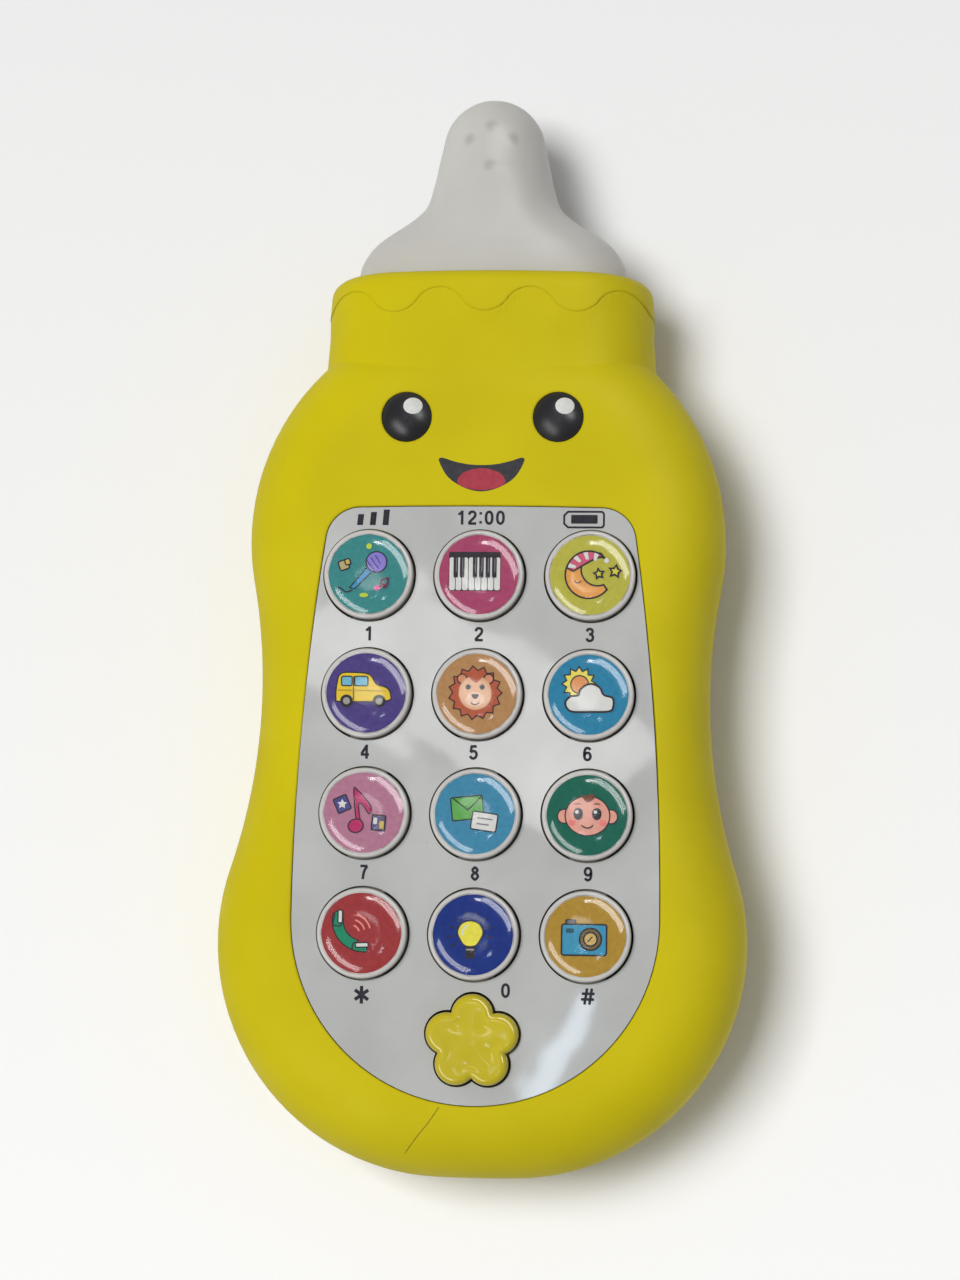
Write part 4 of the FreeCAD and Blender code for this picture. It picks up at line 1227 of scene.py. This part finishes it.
@dataclass
class Eye:
    """Black domed eye with its printed white glint."""

    nodes: Nodes
    side: int
    spacing: float = 24.26
    y: float = 32.8
    radius: float = 3.95
    base_z: float = 30.0
    dome: float = 1.6
    glint_radius: float = 1.5
    glint_x: float = 1.1
    glint_y: float = 1.6

    def build(self) -> None:
        """Dress the dome and lay the glint on it."""
        name = "left" if self.side < 0 else "right"
        paint(self.nodes, "eye_" + name, Surface.EYE.value)
        solid = Solid("eye_glint_" + name)
        cx, cy = self.side * self.spacing / 2, self.y
        ball = (self.radius ** 2 + self.dome ** 2) / (2 * self.dome)
        rings = []
        for sink, shares in ((-0.02, (0.02, 0.35, 0.7, 1.0)), (0.1, (1.0, 0.7, 0.35, 0.02))):
            for share in shares:
                ring = []
                for u, v in oval(self.glint_x, self.glint_y, self.glint_radius * share,
                                 self.glint_radius * 0.92 * share):
                    z = self.base_z + self.dome - ball + math.sqrt(ball ** 2 - u * u - v * v)
                    ring.append((cx + u, cy + v, z - sink))
                rings.append(ring)
        solid.rings(rings, ink("white"))
        settle(solid.object(), "casing")


@dataclass
class Teat:
    """Soft milky teat, clamped in the collar."""

    collar_y: float = 57.2
    mid_z: float = 15.0
    tip_y: float = 88.0
    tip_radius: float = 8.4
    taper: float = math.radians(12.0)
    nipple_start: float = 16.8
    skirt: tuple[Point, ...] = (
        (0.0, 22.1, 10.6), (2.6, 21.8, 10.6), (4.6, 20.8, 10.5), (6.0, 19.7, 10.4), (7.7, 17.6,
                                                                                     10.2),
        (10.2, 13.7, 10.0), (12.7, 11.1, 9.9))
    root: tuple[Point, ...] = (
        (53.3, 22.8, 11.3), (54.9, 22.8, 11.3), (54.95, 21.0, 9.5), (57.15, 21.0, 9.5))
    nubs: tuple[Spot, ...] = ((0.0, 2.4), (24.0, 0.2), (-24.0, 0.2), (0.0, -4.6))
    nub_radius: float = 1.5
    nub_height: float = 0.16
    steps: int = 160
    ring_gap: float = 0.35
    dome_rings: int = 30
    pole: float = 0.004

    def stations(self) -> list[Point]:
        """Return half width and half depth at each place along the soft part."""
        dome_y = self.tip_y - self.tip_radius
        tangent_y = dome_y + self.tip_radius * math.sin(self.taper)
        tangent = self.tip_radius * math.cos(self.taper)

        def round_at(y: float) -> Point:
            """Return the station at a place along the cone."""
            radius = tangent + (tangent_y - y) * math.tan(self.taper)
            return y, radius, radius

        cone_y = self.collar_y + self.nipple_start
        knots = [(self.collar_y + h, a, b) for h, a, b in self.skirt]
        knots += [round_at(cone_y), round_at(cone_y + 2)]
        width, depth = (curve([(knot[0], knot[axis]) for knot in knots], False, 7)
                        for axis in (1, 2))
        made = [(w[0], w[1], d[1]) for w, d in zip(width, depth)]
        while made[-1][0] + self.ring_gap < tangent_y:
            made.append(round_at(made[-1][0] + self.ring_gap))
        for step in range(self.dome_rings + 1):
            a = self.taper + (QUARTER - self.pole - self.taper) * step / self.dome_rings
            radius = self.tip_radius * math.cos(a)
            made.append((dome_y + self.tip_radius * math.sin(a), radius, radius))
        return made

    def swell(self, turn: float, y: float, radius: float) -> float:
        """Return how far the nubs lift the surface at a place."""
        dome_y = self.tip_y - self.tip_radius
        lift = 0.0
        for nub_turn, height in self.nubs:
            across = (turn - math.radians(nub_turn)) * radius
            gap = math.hypot(across, y - dome_y - height) / self.nub_radius
            if gap < 1:
                lift += self.nub_height * (1 - gap ** 2) ** 2
        return lift

    def build(self) -> None:
        """Loft the teat from its clamped root to its tip."""
        solid = Solid("teat_skin")
        rings = []
        for y, a, b in list(self.root) + self.stations():
            ring = []
            for i in range(self.steps):
                turn = TURN * i / self.steps - math.pi
                grow = self.swell(turn, y, a) if y > self.collar_y + self.nipple_start else 0.0
                x, z = math.sin(turn), math.cos(turn)
                ring.append(((a + grow) * x, y, self.mid_z + (b + grow) * z))
            rings.append(ring)
        solid.rings(rings, Surface.SILICONE.value)
        made = solid.object(50)
        # the nub mark also sets where the silicone's painted shade goes
        marks = made.data.attributes.new(NUB_MARK, "FLOAT", "POINT")
        for point, mark in zip(made.data.vertices, marks.data):
            x, y, z = point.co / MM
            turn = math.atan2(x, z - self.mid_z)
            if y > self.collar_y + self.nipple_start:
                lift = self.swell(turn, y, math.hypot(x, z - self.mid_z))
                mark.value = min(1.0, lift / self.nub_height)
        settle(made, "casing", ["teat"])


@dataclass
class Mat:
    """Rubber mat with a springy dome under each button."""

    places: dict[str, Spot]
    half_width: float = 21.7
    low_y: float = -73.7
    high_y: float = 18.1
    low_z: float = 18.8
    high_z: float = 19.8
    hole_radius: float = 2.9
    hole_x: float = 8.8
    hole_rows: tuple[float, float] = (-2.15, -39.95)
    base_radius: float = 3.9
    top_radius: float = 2.8
    top_z: float = 23.4
    pressed_z: float = 22.65

    def build(self) -> None:
        """Cut the sheet and set the domes on it."""
        middle_z = (self.low_z + self.high_z) / 2
        holes = [(x, y, middle_z) for x in (-self.hole_x, self.hole_x) for y in self.hole_rows]
        sheet = place("mat_sheet", mesh_of("mat_sheet", holes))
        size = (2 * self.half_width, self.high_y - self.low_y, self.high_z - self.low_z)
        recipe = Recipe("perforated_sheet", {
            "Size": ("Vector", tuple(s * MM for s in size)),
            "Middle": ("Vector", (0.0, (self.high_y + self.low_y) / 2 * MM, middle_z * MM)),
            "Hole Radius": ("Float", self.hole_radius * MM),
        })
        plate = recipe.add("GeometryNodeMeshCube", Size=recipe.given("Size"))
        placed = recipe.add("GeometryNodeTransform", Geometry=plate.outputs["Mesh"],
                            Translation=recipe.given("Middle"))
        punch = recipe.add("GeometryNodeMeshCylinder", Vertices=48,
                           Radius=recipe.given("Hole Radius"), Depth=0.01)
        punches = recipe.add("GeometryNodeInstanceOnPoints", Points=recipe.given("Geometry"),
                             Instance=punch.outputs["Mesh"])
        solid_punches = recipe.add("GeometryNodeRealizeInstances", Geometry=punches.outputs[0])
        cut = recipe.add("GeometryNodeMeshBoolean", Mesh_1=placed.outputs[0],
                         Mesh_2=solid_punches.outputs[0])
        cut.operation = "DIFFERENCE"
        recipe.run(cut.outputs["Mesh"], sheet, Surface.RUBBER.value)
        settle(sheet, "casing", ["keypad_mat"])
        wide, slim = self.base_radius, self.top_radius
        profile = [(wide, self.high_z - 0.05), (wide, self.high_z + 0.2),
                   (wide - 0.35, self.high_z + 0.6), (slim + 0.1, self.top_z - 1.1),
                   (slim - 0.1, self.top_z - 0.3), (slim - 0.35, self.top_z)]
        for name, (x, y) in self.places.items():
            dome = Solid("dome_" + name)
            dome.lathe(profile, (x, y), Surface.RUBBER.value)
            made = dome.object()
            settle(made, "casing", ["keypad_mat"])
            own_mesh(made)


@dataclass
class ScrewSet:
    """Pan-head screws with a cross recess, all of one size."""

    name: str
    node: str
    body: str
    places: Sequence[Spot]
    head_z: float
    head: float
    head_radius: float
    radius: float
    length: float
    pitch: float = 0.9

    def pattern(self) -> bpy.types.Object:
        """Turn one screw with its head at the origin, seen from below."""
        solid = Solid(self.name + "_pattern")
        profile = [(0.01, -self.head)]
        for step in range(1, 6):
            a = QUARTER * step / 5
            profile.append((self.head_radius * math.sin(a) * 0.999,
                            -self.head + self.head * 0.7 * (1 - math.cos(a))))
        profile += [(self.head_radius, 0.0), (self.radius * 0.8, 0.001)]
        z = 0.3
        while z + self.pitch < self.length - self.radius:
            profile += [(self.radius * 0.78, z), (self.radius * 0.99, z + self.pitch / 2)]
            z += self.pitch
        profile += [(self.radius * 0.78, z), (0.02, self.length - 0.01)]
        solid.lathe(profile, (0, 0), Surface.STEEL.value, 32)
        made = solid.object()
        cross = Solid("cross")
        reach, slim = self.head_radius * 0.52, self.head_radius * 0.15
        deep = -self.head + self.head * 0.6
        for wide, tall in ((reach, slim), (slim, reach)):
            cross.prism(tile(0, 0, 2 * wide, 2 * tall), -self.head - 1, deep, Surface.STEEL.value)
        tool = cross.object()
        cut = made.modifiers.new("recess", "BOOLEAN")
        cut.object, cut.operation, cut.solver, cut.use_self = tool, "DIFFERENCE", "EXACT", True
        plain(made)
        bpy.data.objects.remove(tool)
        return made

    def build(self) -> None:
        """Set one screw at each place, each at its own turn."""
        pattern = self.pattern()
        base = place(self.name, mesh_of(self.name, [(x, y, self.head_z) for x, y in self.places]))
        recipe = Recipe(self.name + "_set", {
            "Screw": ("Object", pattern),
            "Seed": ("Int", 7),
            "Largest Turn": ("Vector", (0.0, 0.0, math.pi)),
        })
        screw = recipe.add("GeometryNodeObjectInfo", Object=recipe.given("Screw"))
        turn = recipe.add("FunctionNodeRandomValue")
        turn.data_type = "FLOAT_VECTOR"
        for socket, value in (("Min", (0.0, 0.0, 0.0)), ("Max", recipe.given("Largest Turn")),
                              ("Seed", recipe.given("Seed"))):
            recipe.give(turn.inputs[socket], value)
        set_out = recipe.add("GeometryNodeInstanceOnPoints", Points=recipe.given("Geometry"),
                             Instance=screw.outputs["Geometry"], Rotation=turn.outputs["Value"])
        recipe.run(set_out.outputs[0], base, Surface.STEEL.value)
        bpy.data.objects.remove(pattern)
        settle(base, self.body, [self.node])


@dataclass
class Inside:
    """Board, chip, loudspeaker, cells, contacts and lamp of the frame, with their finishes."""

    nodes: Nodes
    finishes: dict[str, Surface] = field(default_factory=lambda: {
        "main_board": Surface.BOARD, "sound_chip": Surface.EPOXY, "speaker_frame": Surface.STEEL,
        "speaker_cone": Surface.PAPER, "battery_cells": Surface.CELL, "lamp": Surface.LAMP,
        "contact_bridge": Surface.NICKEL, "contact_negative": Surface.NICKEL,
        "contact_positive": Surface.NICKEL,
    })

    def build(self) -> None:
        """Dress each piece."""
        for name, surface in self.finishes.items():
            paint(self.nodes, name, surface.value)


class Role(Enum):
    """What a lamp is there for."""

    LIGHT = "lights the surfaces"
    SHINE = "shows in the glossy ones"


@dataclass
class Studio:
    """Pale floor, soft lamps and the camera over the phone."""

    floor_half: float = 2000.0
    daylight: float = 0.31
    tilt: float = 5.37
    yaw: float = 5.34
    roll: float = 0.92
    distance: float = 511.4
    target: Point = (-1.29, -1.41, 14.0)
    focal_pixels: float = 3128.9
    frame_width: float = 960.0
    sensor: float = 36.0

    def build(self) -> None:
        """Set the stage."""
        self.floor()
        self.lamp("window", (-0.78, 0.28, 2.25), (1.0, 1.0), 45.0, Role.LIGHT)
        self.lamp("ceiling_panel", (0.55, 0.55, 1.0), (1.2, 0.38), 12.0)
        self.lamp("low_panel", (-0.6, -0.6, 1.0), (1.1, 0.3), 8.0)
        self.lamp("small_lamp", (0.0, 0.62, 0.8), (0.11, 0.15), 0.8)
        self.lamp("spot", (0.11, -0.26, 1.0), (0.05, 0.09), 0.17, cool=True)
        self.lamp("glow", (-0.095, 0.06, 1.0), (0.07, 0.17), 0.17)
        self.lamp("strip", (-0.058, -0.115, 1.0), (0.012, 0.085), 0.032, cool=True)
        world = bpy.data.worlds.new("studio")
        world.use_nodes = True
        back = world.node_tree.nodes["Background"]
        back.inputs["Color"].default_value = (1.0, 1.0, 1.0, 1.0)
        back.inputs["Strength"].default_value = self.daylight
        bpy.context.scene.world = world
        self.camera()

    def floor(self) -> None:
        """Lay the pale floor under the phone, with painted shade that makes it a little darker
        towards the top.
        """
        half = self.floor_half
        mesh = mesh_of("floor", [(-half, -half, 0), (half, -half, 0), (half, half, 0),
                                 (-half, half, 0)], [(0, 1, 2, 3)])
        wiring = Wiring("pale_floor")
        # painted shade: the floor's tone falls from 249 at the bottom to 237 at the top, standing
        # in for the fall-off of the lamps' light
        tone = wiring.ramp(wiring.along(-110, 110),
                           ((0.0, (249, 249, 249)), (1.0, (237, 237, 237))))
        node = wiring.add("BsdfDiffuse", Roughness=0.5, Color=tone)
        mesh.materials.append(wiring.close(node.outputs["BSDF"]))
        floor = place("floor", mesh)
        floor.location.z = -0.05 * MM

    def lamp(self, name: str, spot: Point, size: Spot, power: float, role: Role = Role.SHINE,
             cool: bool = False) -> None:
        """Hang a lamp that faces the phone.

        Args:
            name: the lamp's name.
            spot: where it hangs, in metres.
            size: its width and height in metres.
            power: its power in watts.
            role: whether it lights surfaces or shows in glossy ones.
            cool: whether its light is bluish.
        """
        data = bpy.data.lights.new(name, "AREA")
        data.shape = "RECTANGLE"
        data.size, data.size_y = size
        data.energy = power
        data.color = (0.72, 0.86, 1.0) if cool else (1.0, 1.0, 1.0)
        made = place(name, data)
        made.visible_glossy = role is Role.SHINE
        made.visible_diffuse = role is Role.LIGHT
        made.location = spot
        made.rotation_mode = "QUATERNION"
        made.rotation_quaternion = (-Vector(spot)).to_track_quat("-Z", "Y")

    def camera(self) -> None:
        """Put the camera where the photograph was taken from."""
        t, y, r = (math.radians(a) for a in (self.tilt, self.yaw, self.roll))
        back = Vector((math.sin(y) * math.cos(t), -math.sin(t),
                       math.cos(t) * math.cos(y))).normalized()
        right = Vector((0, 1, 0)).cross(back).normalized()
        up = back.cross(right)
        turned_right = right * math.cos(r) + up * math.sin(r)
        turned_up = up * math.cos(r) - right * math.sin(r)
        data = bpy.data.cameras.new("camera")
        data.sensor_fit = "HORIZONTAL"
        data.sensor_width = self.sensor
        data.lens = self.focal_pixels / self.frame_width * self.sensor
        made = place("camera", data)
        matrix = Matrix((turned_right, turned_up, back)).transposed().to_4x4()
        matrix.translation = (Vector(self.target) + back * self.distance) * MM
        made.matrix_world = matrix
        bpy.context.scene.camera = made


def main() -> None:
    """Build and dress every sub-assembly in order."""
    logging.basicConfig(level=logging.INFO, format="%(message)s")
    bpy.context.scene.view_settings.view_transform = "Standard"
    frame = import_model()
    nodes = frame["nodes"]
    Casing(nodes).build()
    panel, flower = Panel(nodes), Flower()
    panel.build()
    places = panel.places()
    for name, centre in places.items():
        Key(nodes, name, centre).build()
    flower.build()
    places["flower"] = flower.centre
    for side in (-1, 1):
        Eye(nodes, side).build()
    Teat().build()
    Mat(places).build()
    case_places = [(x, y) for x in (-25.65, 25.65) for y in (-63.0, -21.05, 29.8)]
    ScrewSet("case_screw_set", "case_screws", "casing", case_places, 9.0, 2.0, 2.8, 1.3,
             12.0).build()
    board_places = [(x, y) for x in (-8.8, 8.8) for y in (-2.15, -39.95)]
    ScrewSet("board_screw_set", "board_screws", "casing", board_places, 17.2, 1.2, 2.0, 1.0,
             6.0).build()
    ScrewSet("door_screw_set", "door_screw", "door", [(0.0, -67.6)], 1.2, 0.9, 2.2, 1.1,
             5.0).build()
    Inside(nodes).build()
    Studio().build()


if __name__ == "__main__":
    main()
